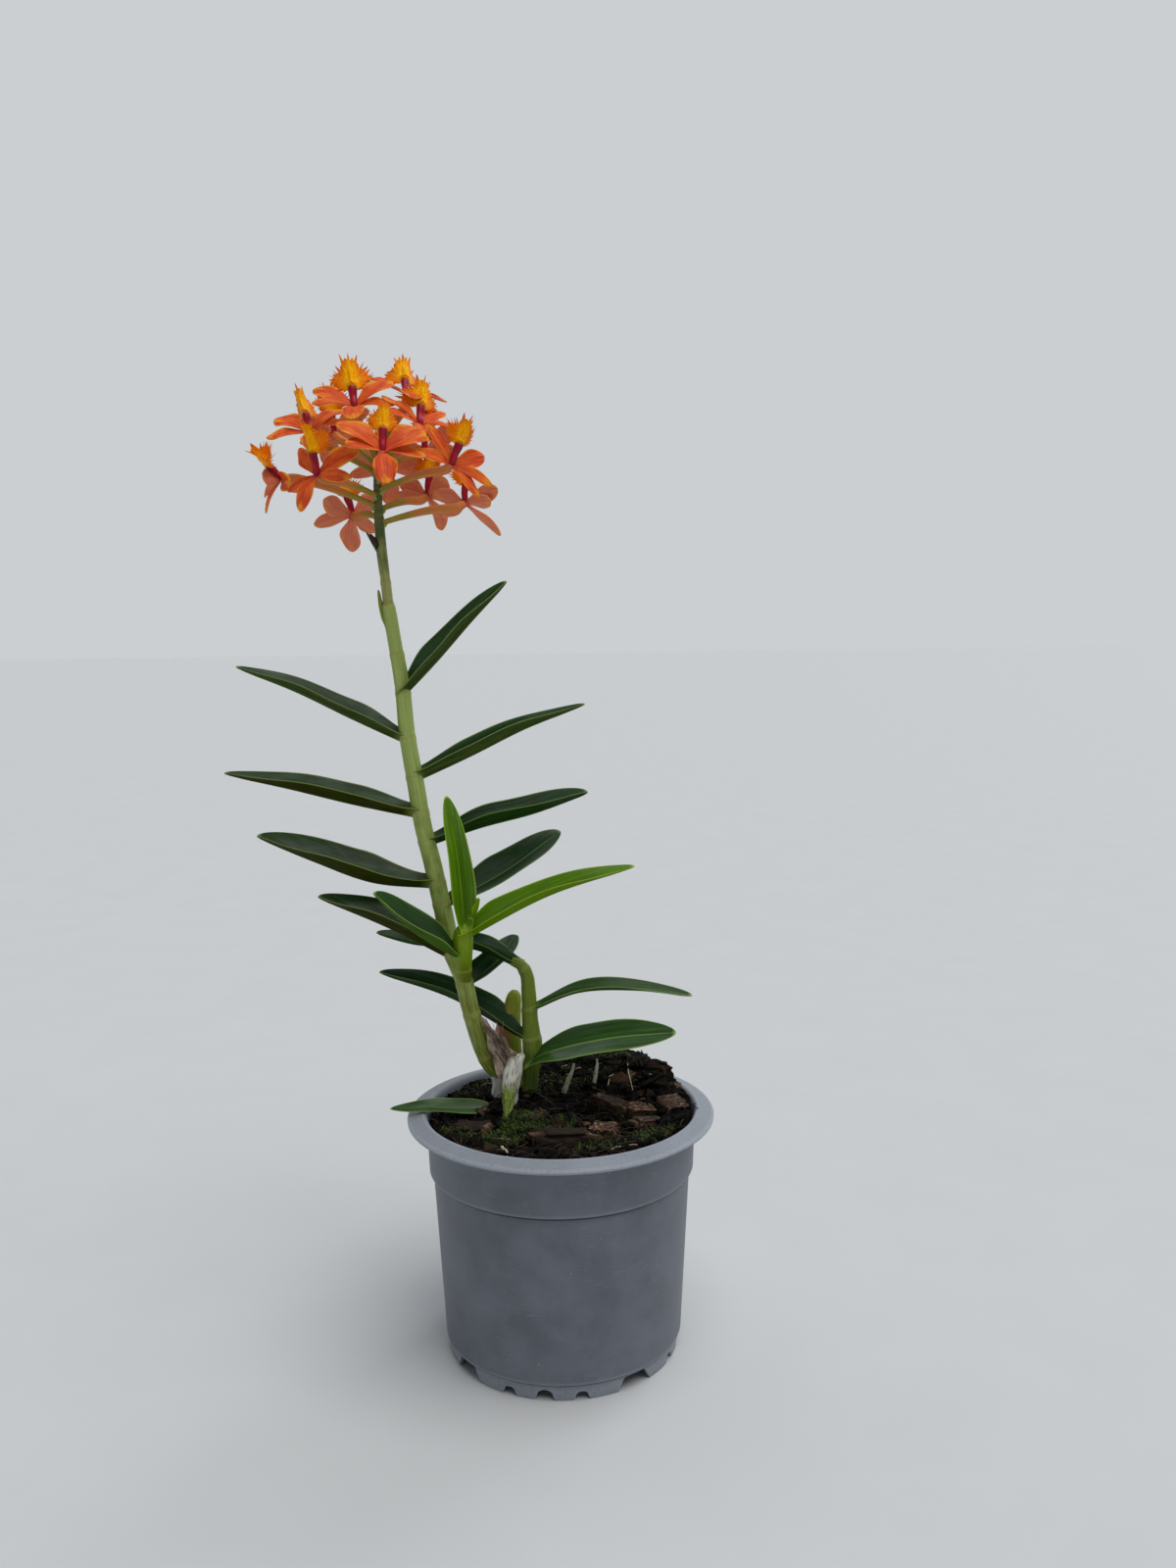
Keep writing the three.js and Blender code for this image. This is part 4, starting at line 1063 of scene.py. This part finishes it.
def build_crumbs():
    """Broken shards of bark and peat, mostly small and dark, half sunk in the mix, and
    coarser at its back right."""
    rng = random.Random(11)
    shape = Shape()
    bit = ball(4, 8)
    smallest, largest = CRUMB_SIZE
    lump_size, lump_depth = CRUMB_LUMPS
    for _ in range(CRUMBS):
        x, y = random_spot(rng, MIX_EDGE - 0.6)
        coarse = 1 + 0.8 * float(smoothstep((x + y - 8) / 40))
        size = (smallest + (largest - smallest) * rng.random() ** 2.2) * coarse
        long = rng.uniform(*CRUMB_LONG)
        flat = rng.uniform(*CRUMB_FLAT)
        lumps = 1 + lump_depth * rough(bit, lump_size, rng.random() * 50)
        rings = turned(bit * lumps[..., None] * [size * long, size, size * flat], rng, CRUMB_LEAN)
        rings = inside_pot(rings + [x, y, ground_height(x, y) + CRUMB_LIFT * size])
        shape.add_skin(rings, tone=rng.random())
    finish_piece("mix_crumbs", shape, crumb(), sharp=28)


def add_fibre(shape, rng, x, y, reach, thick, tone, arch):
    """One thin root or fibre that lies over the mix in a loose curve."""
    turn = rng.uniform(0, 2 * math.pi)
    stations = []
    for bend in range(FIBRE_BENDS + 1):
        lift = thick + arch * math.sin(math.pi * bend / FIBRE_BENDS)
        stations.append([x, y, ground_height(x, y) + lift, thick])
        turn += rng.uniform(-FIBRE_WANDER, FIBRE_WANDER)
        x += reach / FIBRE_BENDS * math.cos(turn)
        y += reach / FIBRE_BENDS * math.sin(turn)
        if math.hypot(x, y) > MIX_EDGE - 1:
            x, y = x * 0.96, y * 0.96
    add_stem(shape, stations, 5, 12, up=[0, 0.1, 1], tone=tone)


def add_straw(shape, rng, start, end, thick, arch):
    """A pale straw between two spots, thinner towards its end."""
    stations = []
    for share in np.linspace(0, 1, 6):
        x, y = np.array(start) * (1 - share) + np.array(end) * share
        x, y = x + rng.uniform(-0.9, 0.9), y + rng.uniform(-0.9, 0.9)
        lift = thick + arch * math.sin(math.pi * share)
        stations.append([x, y, ground_height(x, y) + lift, thick * (1.1 - 0.6 * share)])
    add_stem(shape, stations, 6, 16, up=[0, 0.1, 1], tone=1.0)


def build_fibres():
    """Fine roots and fibres strewn over the mix, and the pale straws of the table."""
    rng = random.Random(23)
    shape = Shape()
    for _ in range(FIBRES):
        x, y = random_spot(rng, MIX_EDGE - 1.5)
        # At the back right more of the fibres are pale.
        back = x > 5 and y > 5
        tone = rng.random() ** (1.1 if back else 1.6) * (0.97 if back else 0.93)
        thick, reach = rng.uniform(*FIBRE_THICK), rng.uniform(*FIBRE_REACH)
        add_fibre(shape, rng, x, y, reach, thick, tone, rng.uniform(*FIBRE_ARCH))
    for start, end, arch, thick in STRAWS:
        add_straw(shape, rng, start, end, thick, arch)
    finish_piece("mix_fibres", shape, fibre())


def add_moss_shoot(shape, rng, foot, tone):
    """A little stem of pointed leaves that stand out all round it."""
    height = rng.uniform(*MOSS_HEIGHT)
    lean = np.array([rng.uniform(-0.7, 0.7), rng.uniform(-0.7, 0.7), 1.0])
    for leaflet in range(MOSS_LEAFLETS):
        share = leaflet / MOSS_LEAFLETS
        base = foot + lean * height * share
        turn = leaflet * GOLDEN_TURN + rng.random()
        length = MOSS_LEAFLET * (1 - 0.4 * share)
        tip = base + circle(1, turn, 0.9) * length
        middle = base + circle(1, turn, 0.9) * length * 0.45
        side = circle(1, turn + math.pi / 2, 0) * length * 0.3
        points = [base, middle + side, tip, middle - side, middle + UPRIGHT * 0.12 * length]
        faces = [[0, 1, 4], [1, 2, 4], [2, 3, 4], [3, 0, 4], [0, 3, 2, 1]]
        shape.add(points, faces, tone=tone + 0.25 * share)


def build_moss():
    """Patches of moss shoots, left out where they would stand in the pot's wall."""
    rng = random.Random(31)
    shape = Shape()
    for x, y, reach, count in MOSS:
        for _ in range(count):
            turn, radius = rng.uniform(0, 2 * math.pi), reach * math.sqrt(rng.random())
            a, b = x + radius * math.cos(turn), y + radius * math.sin(turn)
            if math.hypot(a, b) < MIX_EDGE - 1:
                foot = np.array([a, b, ground_height(a, b) - 0.3])
                add_moss_shoot(shape, rng, foot, rng.random() * 0.8)
    finish_piece("mix_moss", shape, moss())


def build_bark():
    """The larger chips: split slabs with ragged fibrous ends."""
    material = bark()
    bit = ball(22, 34)
    x, y, z = np.moveaxis(bit, -1, 0)
    boxy = np.sign(bit) * np.abs(bit) ** 0.38
    for number, (spot, size, turn, tone) in enumerate(BARK, 1):
        rng = random.Random(100 + number)
        ragged = 1 + 0.34 * rough(bit, 0.55, number)
        fine = 1 + 0.10 * rough(bit, 0.16, number + 9)
        split = 1 + 0.16 * np.sin(y * 17 + 3 * z + number) * np.abs(x)
        rings = boxy * (np.array(size) * CHIP_GROWTH) * (ragged * fine * split)[..., None]
        lean = Matrix.Rotation(rng.uniform(-0.18, 0.18), 3, "Y")
        lean = lean @ Matrix.Rotation(rng.uniform(-0.2, 0.2), 3, "X")
        matrix = Matrix.Rotation(math.radians(turn), 3, "Z") @ lean
        lift = CHIP_LIFT + mix_bank(*spot[:2])
        placed = inside_pot(rings @ np.array(matrix).T + spot + [0, 0, lift])
        edge = np.abs(x) ** 2 + 0.5 * np.abs(z)
        shape = Shape().add_skin(placed, grain=rings, edge=edge, tone=tone)
        finish_piece(f"bark_piece_{number}", shape, material, [f"bark_chip_{number}"])


# ------------------------------------------------------------------ canes, stalk and roots

def jointed(stations, heights, flat=0.0):
    """Radius change and colour of a cane with nodes at these heights: a ridge at each, a
    waist above it, and a coloured ring where the sheath's mouth is. flat is how much wider
    the cane is from left to right."""
    fine, lengths = smooth_curve(stations)
    runs = np.interp(heights, fine[:, 2], lengths)
    ridge, ridge_reach = NODE_RIDGE
    waist, waist_reach, waist_place = NODE_WAIST
    ring_reach, ring_place = NODE_RING

    def swelling(angle, run):
        change = 0.06 * np.cos(5 * angle + run * 0.02) + flat * np.cos(2 * angle)
        for at in runs:
            change = change + ridge * bell((run - at) / ridge_reach)
            change = change - waist * bell((run - at - waist_place) / waist_reach)
        return change

    def ring(angle, run):
        wavy = run - ring_place + 0.3 * np.cos(angle)
        return np.clip(sum(bell((wavy - at) / ring_reach) for at in runs), 0, 1)

    return swelling, ring


def build_canes():
    """The jointed canes with the rhizome, and the smooth young shoot with its pink side."""
    green, older, fresh, pink = (stem(name) for name in ("cane", "cane_older", "young_cane", "shoot"))
    leaf_nodes = [
        spec["path"][0][2] + LEAF_NODE
        for name, spec in LEAVES.items() if name.startswith(("leaf_left", "leaf_right"))
    ]
    canes = [
        ("cane_flowering", "main_cane", MAIN_CANE, leaf_nodes, 0, green, 40, 300),
        ("cane_side", "side_shoot", SIDE_SHOOT, [], 0.35, fresh, 32, 80),
        ("cane_second", "second_cane", SECOND_CANE, [], 0, older, 36, 110),
        ("rhizome_link", "rhizome", RHIZOME, [], 0, older, 24, 24),
    ]
    for name, node, stations, leafy, flat, material, sides, rows in canes:
        swelling, ring = jointed(stations, leafy + NODES[node], flat)
        shape = add_stem(Shape(), stations, sides, rows, swelling, ring=ring)
        finish_piece(name, shape, material, [node])

    def blush(angle, run):
        place, reach = BLUSH
        return 1.5 * np.clip(np.cos(angle + 0.6), 0, 1) * bell((run - place) / reach)

    shape = add_stem(Shape(), YOUNG_SHOOT, 28, 60, lambda a, r: 0.25 * np.cos(2 * a + 0.4), ring=blush)
    finish_piece("shoot_young", shape, pink, ["young_shoot"])


def build_stalk():
    """The flower stalk, with a small scale under each flower's stem and buds at its top."""
    starts = [spec["start"] for spec in FLOWERS]
    swelling, ring = jointed(FLOWER_STALK, NODES["flower_stalk"] + starts)
    shape = Shape()
    add_stem(shape, FLOWER_STALK, 28, 120, swelling, ring=lambda a, r: 0.4 * ring(a, r))
    for spec in FLOWERS:
        foot = np.array([STALK_X, 0, spec["start"] - 1.2])
        way = unit(spec["centre"] - foot)
        add_stem(shape, rod(foot, way, STALK_SCALE), sides=10, rows=8, along=0.2)
    for number in range(STALK_BUDS):
        bud = rod(STALK_TOP, circle(0.5, number * GOLDEN_TURN, 1), STALK_BUD)
        add_stem(shape, bud, sides=12, rows=12, along=0.6)
    finish_piece("stalk_flower", shape, stem("flower_stalk"), ["flower_stalk"])


def root_swelling(number):
    """Uneven rings, shallow lumps and one groove that winds along a root."""

    def swelling(angle, run):
        ring = 0.12 * np.sin(run * 1.1 + 2 * np.cos(angle) + number)
        groove = 0.3 * bell(np.angle(np.exp(1j * (angle + 1.5 - run * 0.02))) / 0.25)
        return ring - groove + 0.2 * np.sin(3 * angle + run * 0.35) * np.cos(run * 0.6 + number)

    return swelling


def build_roots():
    """The roots: the front one mossy towards the mix, the short ones all over."""
    material = root()
    mossy = {
        "aerial_root_front": lambda angle, run: np.clip((run - 9) / 14, 0, 0.7),
        "short_root_left": 0.34, "short_root_right": 0.34,
    }
    for number, (name, stations) in enumerate(ROOTS.items()):
        shape = add_stem(Shape(), stations, 26, 70, root_swelling(number), moss=mossy.get(name, 0.12))
        finish_piece("velamen_" + name, shape, material, [name])


# ------------------------------------------------------------------ leaves

def leaf_outline(t, spec):
    """A blade's width at shares of its length, from 0 to 1."""
    widening = spec["foot"] + (1 - spec["foot"]) * smoothstep(t / spec["rise"])
    return widening * np.clip(1 - t ** spec["taper"], 0, 1) ** 0.6


def husk_outline(t, spec):
    """A ragged strip that narrows all the way."""
    return (1.05 - 0.85 * t + 0.1 * np.sin(15 * t)) * np.clip(1 - t**4, 0, 1) ** 0.6


def leaf_skins(half, slope, body, keel, groove, ripple, rng):
    """The face and the back of a blade's right and left halves, row by row as points (across,
    up) from the keel outwards."""
    middle = (slope[:, 1:] + slope[:, :-1]) / 2
    start = np.zeros((LEAF_ROWS, 1))
    skins = []
    for way in (1, -1):
        phase = rng.uniform(0, 6.28)
        step = half[:, None] * (1 + rng.uniform(-0.04, 0.04)) / LEAF_HALF
        x = np.hstack([start, np.cumsum(np.cos(middle) * step, axis=1)])
        y = np.hstack([start, np.cumsum(np.sin(middle) * step, axis=1)]) + ripple(phase)
        for depth in (body - groove, -(body + keel)):
            skins.append(stack(way * (x - np.sin(slope) * depth), y + np.cos(slope) * depth))
    return skins


def add_leaf(shape, spec, seed, outline=leaf_outline):
    """A folded leathery blade, thickest at its keel, that clasps the stem and flattens
    towards its tip."""
    spec = {**LEAF_USUAL, **spec}
    # Rows lie closer together towards the tip, and stop just short of it.
    t = 1 - (1 - np.linspace(0, 0.9, LEAF_ROWS)) ** 1.9
    t = t / t[-1] * 0.997
    half = spec["width"] / 2 * outline(t, spec)
    relative = half / half.max()
    # The blade is folded most at its foot and least at its tip.
    folded = 1.3 - 0.3 * smoothstep(t / 0.1) - 0.35 * smoothstep((t - 0.55) / 0.45)
    fold = np.radians(spec["fold"]) * folded
    u = np.linspace(0, 1, LEAF_HALF + 1)
    slope = fold[:, None] * smoothstep(u / 0.16) * (1.08 - 0.25 * u)
    slim = np.minimum(1, relative * 2.2)[:, None] ** 0.5
    body = spec["thickness"] * (LEAF_MARGIN + (1 - LEAF_MARGIN) * (1 - u) ** 1.1) * slim / 2
    keel, groove = (
        height * spec["thickness"] * bell(u / reach) * slim
        for height, reach in (LEAF_KEEL, LEAF_GROOVE)
    )

    def ripple(phase):
        waves = np.sin(2 * math.pi * LEAF_WAVES * t + phase) * relative
        return spec["wave"] * u**2 * waves[:, None]

    skins = leaf_skins(half, slope, body, keel, groove, ripple, random.Random(seed))
    right_in, right_out, left_in, left_out = skins
    # Round each row: over the face from right to left, and back under it.
    loop = np.hstack([right_in[:, ::-1], left_in[:, 1:], left_out[:, ::-1], right_out[:, 1:]])
    across = np.concatenate([u[::-1], u[1:], u[::-1], u[1:]])
    signs = np.repeat([1.0, -1.0, 1.0], [LEAF_HALF + 1, 2 * LEAF_HALF + 1, LEAF_HALF])
    inner = np.repeat([1.0, 0.0], 2 * LEAF_HALF + 1)
    spots, along, length = follow(spec["path"], t)
    side, lift = frames(along, spec["up"])
    grain = stack(half[:, None] * (across * signs), 40 * inner + seed, (t * length)[:, None])
    rings = spots[:, None] + side[:, None] * loop[..., :1] + lift[:, None] * loop[..., 1:]
    return shape.add_skin(rings, grain=grain, across=across, inner=inner, along=t[:, None])


def build_leaves():
    """The leaves of the table, with one material on their face and one on their back."""
    looks = {name: leaf(name, *colours) for name, colours in LEAF_COLOURS.items()}
    for number, (name, spec) in enumerate(LEAVES.items(), 1):
        face, back = looks[spec["look"]]
        shape = add_leaf(Shape(), spec, number)
        finish_piece("blade_" + name, shape, face, [name], sharp=60, under=back)


def build_scraps():
    """The dry sheath, the cane's last sheath, and the bract with its withered bud."""
    shape = add_leaf(Shape(), HUSK, 41, husk_outline)
    rng = random.Random(5)
    for _ in range(HUSK_STRANDS):
        foot = np.array([rng.uniform(*reach) for reach in HUSK_FEET])
        top = foot + [rng.uniform(*reach) for reach in HUSK_RUN]
        middle = (foot + top) / 2 + [rng.uniform(-1, 1), -0.6, 0]
        strand = [[*foot, 0.22], [*middle, 0.18], [*top, 0.06]]
        add_stem(shape, strand, 5, 10, across=0.5, inner=1.0)
    finish_piece("sheath_dry", shape, husk(), ["dry_sheath"])

    blades = [
        ("sheath_cane_top", "cane_top_sheath", CANE_TIP, 42, "sheath_tip"),
        ("bract_stalk", "stalk_bract", BRACT, 43, "bract"),
    ]
    for name, node, spec, seed, look in blades:
        green = leaf_side(look, *SCRAP_LOOKS[look])
        finish_piece(name, add_leaf(Shape(), spec, seed), green, [node])

    shape = add_stem(Shape(), DRY_BUD, 16, 18, lambda a, r: 0.12 * np.cos(5 * a + r))
    finish_piece("bud_withered", shape, stem("withered_bud"), ["withered_bud"])


# ------------------------------------------------------------------ flowers

def tepal_outline(t):
    return (0.3 + 0.7 * smoothstep(t / 0.58)) * np.clip(1 - t**4, 0, 1) ** 0.58


def add_tepal(shape, centre, way, face, length, width, rng):
    """One sepal or petal: a thin cupped blade with a midrib groove, bowed and a little
    twisted, with a rippled and crumpled margin."""
    t = np.linspace(0, 0.995, TEPAL_ROWS)
    bow = rng.uniform(0.03, 0.08)
    droop = rng.uniform(0.0, 0.09)
    path = centre + np.outer(t * length, way) + np.outer(0.6 * (1 - t), way)
    path = path + np.outer(length * (bow * 4 * t * (1 - t) - droop * t**3), face)
    side, lift = frames(unit(np.gradient(path, axis=0)), face)
    half = width / 2 * tepal_outline(t)[:, None]
    u = np.linspace(-1, 1, 2 * TEPAL_HALF + 1)
    t = t[:, None]
    cup = rng.uniform(0.15, 0.34) * (1 - 1.1 * smoothstep((t - 0.35) / 0.6))
    twist = rng.uniform(-0.22, 0.22) * t
    ripple = rng.uniform(0.05, 0.16) * np.sin(7 * t + rng.uniform(0, 6))
    crumple = TEPAL_CRUMPLE * np.sin(9 * u + 5 * t + twist * 20) * smoothstep((t - 0.4) / 0.5)
    above = crumple + half * (cup * u**2 + twist * u + ripple * np.abs(u) ** 3)
    above = above - TEPAL_GROOVE * bell(u / 0.16) * (1 - t**2)
    body = TEPAL_HALF_THICK * (1 - 0.62 * np.abs(u)) * np.minimum(1, half / half.max() * 2.5)
    out = np.hstack([half * u, half * u[::-1]])
    height = np.hstack([above + body, (above - body)[:, ::-1]])
    rings = path[:, None] + side[:, None] * out[..., None] + lift[:, None] * height[..., None]
    front = np.repeat([1.0, 0.0], len(u))
    grain = stack(out, 30 * front + rng.uniform(0, 90), t * length)
    shape.add_skin(rings, grain=grain, across=np.abs([*u, *u[::-1]]), inner=front, along=t)


def lip_reaches(degrees, rng):
    """How far the lip reaches at each angle from its tip, with its fringe of narrow teeth,
    and how much of that is tooth."""
    away = np.abs(degrees)
    body = np.interp(away, LIP_ANGLES, LIP_REACH)
    step = (degrees / 360 + 0.5) * LIP_TEETH
    number = np.floor(step).astype(int) % LIP_TEETH
    saw = 1 - np.abs(2 * (step - np.floor(step)) - 1)
    depth = np.array([rng.uniform(0.5, 1.25) for _ in range(LIP_TEETH)])[number]
    fringed = smoothstep((118 - away) / 18) * (0.35 + 0.65 * smoothstep((away - 19) / 8))
    tall = LIP_TALL_TOOTH * (bell(away / 3.2) + bell((away - 14) / 3.2))
    tooth = fringed * depth * saw**1.8
    return body * (1 - 0.08 * fringed) + LIP_TOOTH * tooth + tall * saw, tooth + 0.3 * tall * saw


def lip_relief(x, y, turn, reach, outer, phase):
    """How far the lip stands off its plane, and the relief on its upper skin alone."""
    radius = np.hypot(x, y)
    # The side lobes droop, the middle one rises, and the margin is ruffled.
    droop = -0.034 * radius**2 * np.abs(np.sin(turn)) ** 1.5
    rise = 0.012 * radius**2 * bell(turn / 0.4)
    ruffle = 0.55 * np.sin(9 * turn + phase) * outer + 0.45 * np.sin(31 * turn + phase) * outer**2
    # The callus: two lumps, a keel, and ribs on either side of that.
    lumps = sum(1.5 * np.exp(-((x - way * 0.9) ** 2 + (y - 0.7) ** 2) / 0.9) for way in (1, -1))
    keel = bell(x / 0.6) * bell((y - 3.4) / 2.6)
    ribs = 0.35 * np.cos(3.4 * x) * bell(x / 2.6) * bell((y - 4) / 3.5)
    return droop + rise + ruffle * np.clip(reach / 5, 0, 1), lumps + keel + ribs


def add_lip(shape, middle, right, up, face, size, fold, rng):
    """A lip with two broad fringed side lobes, a forked middle one with tall teeth, and a
    two-lumped callus with a keel over the column's end. fold turns the side lobes back."""
    degrees = np.linspace(-180, 180, LIP_TURNS, endpoint=False)
    reach, tooth = lip_reaches(degrees, rng)
    shares = np.array(LIP_STEPS)[:, None]
    turn = np.radians(degrees)
    outer = smoothstep((shares - 0.55) / 0.45)
    x, y = shares * reach * np.sin(turn), shares * reach * np.cos(turn)
    wavy, callus = lip_relief(x, y, turn, reach, outer, rng.uniform(0, 6))
    # The side lobes fold back about two lines beside the midline.
    bent = math.radians(LIP_FOLD * fold)
    beyond = np.maximum(np.abs(x) - LIP_HINGE, 0)
    across = np.sign(x) * (np.minimum(np.abs(x), LIP_HINGE) + beyond * math.cos(bent))
    skins = []
    for offset, relief in ((-LIP_HALF_THICK, 0), (LIP_HALF_THICK, callus)):
        z = wavy + relief + offset * (1 - 0.7 * shares) - beyond * math.sin(bent)
        skins.append(middle + size * (across[..., None] * right + y[..., None] * up + z[..., None] * face))
    heart = bell(x / 3.3) * np.clip(1.3 - np.abs(y - 3.5) / 8, 0, 1)
    rings, heart, fringe = (
        np.concatenate([under, over[::-1]])
        for under, over in (skins, [heart] * 2, [tooth * outer**2] * 2)
    )
    return shape.add_skin(rings, heart=heart, fringe=fringe)


def flower_stem(foot, centre, face):
    """The flower's own stem, straight and stout with six ribs, that bends to meet its back."""
    span = centre + face * FLOWER_NECK[0][0] - foot
    stations = rod(foot, span, FLOWER_STEM) + rod(centre, face, FLOWER_NECK)
    return add_stem(Shape(), stations, 30, 54, lambda a, r: STEM_RIB * np.cos(6 * a))


def build_flower(number, spec, skins):
    """One flower's sepals and petals, its column, its lip and its stem, as four pieces."""
    rng = random.Random(500 + number)
    spec = {**FLOWER_USUAL, **spec}
    centre = np.array(spec["centre"], float)
    face = unit(spec["face"])
    right = unit(np.cross(spec["lip"], face))
    up = np.cross(face, right)

    def direction(angle, tilt):
        a, b = math.radians(angle), math.radians(tilt)
        return (up * math.cos(a) + right * math.sin(a)) * math.cos(b) + face * math.sin(b)

    shape = Shape()
    for (angle, length, tilt, *own), usual in zip(spec["tepals"], TEPAL_WIDTHS):
        width = (own[0] if own else usual) * rng.uniform(0.92, 1.05)
        add_tepal(shape, centre, direction(angle, tilt), face, length, width, rng)
    finish_piece(f"tepals_{number}", shape, skins["tepal"], [f"flower_{number}"], sharp=70)

    way = direction(0, COLUMN_TILT)
    stations = rod(centre, way, COLUMN, aside=face)
    shape = add_stem(Shape(), stations, 22, 30, lambda a, r: 0.12 * np.cos(2 * a), up=face)
    finish_piece(f"column_{number}", shape, skins["column"])

    blade_up, blade_face = direction(0, LIP_TIP_FORWARD), direction(180, 90 - LIP_TIP_FORWARD)
    end = centre + way * COLUMN_LENGTH
    shape = add_lip(Shape(), end, right, blade_up, blade_face, spec["size"], spec["fold"], rng)
    finish_piece(f"lip_{number}", shape, skins["lip"], sharp=60)

    shape = flower_stem(np.array([STALK_X, 0, spec["start"]]), centre, face)
    finish_piece(f"pedicel_{number}", shape, skins["stem"])


def build_flowers():
    skins = {"tepal": tepal(), "column": column_skin(), "lip": lip_skin(), "stem": flower_stem_skin()}
    for number, spec in enumerate(FLOWERS, 1):
        build_flower(number, spec, skins)


# ------------------------------------------------------------------ studio

def build_studio():
    """A pale floor, a soft key light and a weak light from behind."""
    look = Look("floor", roughness=0.75, specular=0.2)
    fine = look.noise(look.place(), 0.02, detail=2)
    look.colour(look.mix(fine, (0.523, 0.538, 0.554), (0.553, 0.569, 0.585)))
    bpy.ops.mesh.primitive_plane_add(size=FLOOR_SIZE, location=(0, 0, 0))
    floor = bpy.context.object
    floor.name = "floor"
    floor.data.materials.append(look.material)
    for name, place, spread, power, colour, gloss in LAMPS:
        lamp = bpy.data.lights.new(name, "SUN")
        lamp.angle = math.radians(spread)
        lamp.energy = power
        lamp.color = colour
        lamp.specular_factor = gloss
        holder = bpy.data.objects.new(name, lamp)
        holder.location = place
        holder.rotation_euler = Vector(place).to_track_quat("Z", "Y").to_euler()
        bpy.context.scene.collection.objects.link(holder)


def build_sky():
    """A pale room: light low down and behind the plant, and dimmer high up in front of it."""
    world = bpy.data.worlds.new("studio")
    world.use_nodes = True
    sky = NodeTree(world.node_tree)
    ways = sky.node("SeparateXYZ", {0: sky.node("TexCoord").outputs["Generated"]}).outputs
    share = sky.math("MAXIMUM", sky.range(ways["Y"], *SKY_BACK), sky.range(ways["Z"], *SKY_LOW))
    colour = sky.mix(share, (0.11, 0.115, 0.12), (0.597, 0.623, 0.644))
    sky.put(world.node_tree.nodes["Background"].inputs["Color"], colour)
    bpy.context.scene.world = world


def build_camera():
    """The photograph's camera, from its place, its tilt and its roll."""
    down, roll = math.radians(CAMERA_DOWN), math.radians(CAMERA_ROLL)
    ahead = Vector((0, math.cos(down), -math.sin(down)))
    right = Vector((1, 0, 0))
    up = right.cross(ahead)
    turned_right = right * math.cos(roll) + up * math.sin(roll)
    turned_up = up * math.cos(roll) - right * math.sin(roll)
    camera = bpy.data.cameras.new("camera")
    camera.lens = LENS
    camera.sensor_width = SENSOR
    holder = bpy.data.objects.new("camera", camera)
    holder.matrix_world = Matrix((turned_right, turned_up, -ahead)).transposed().to_4x4()
    holder.location = Vector(CAMERA_SPOT) * MM + Vector(POT_AXIS)
    bpy.context.scene.collection.objects.link(holder)
    bpy.context.scene.camera = holder
    bpy.context.scene.view_settings.view_transform = "Standard"


build_camera()
build_pot()
build_mix()
build_crumbs()
build_fibres()
build_moss()
build_bark()
build_canes()
build_stalk()
build_roots()
build_leaves()
build_scraps()
build_flowers()
build_studio()
build_sky()
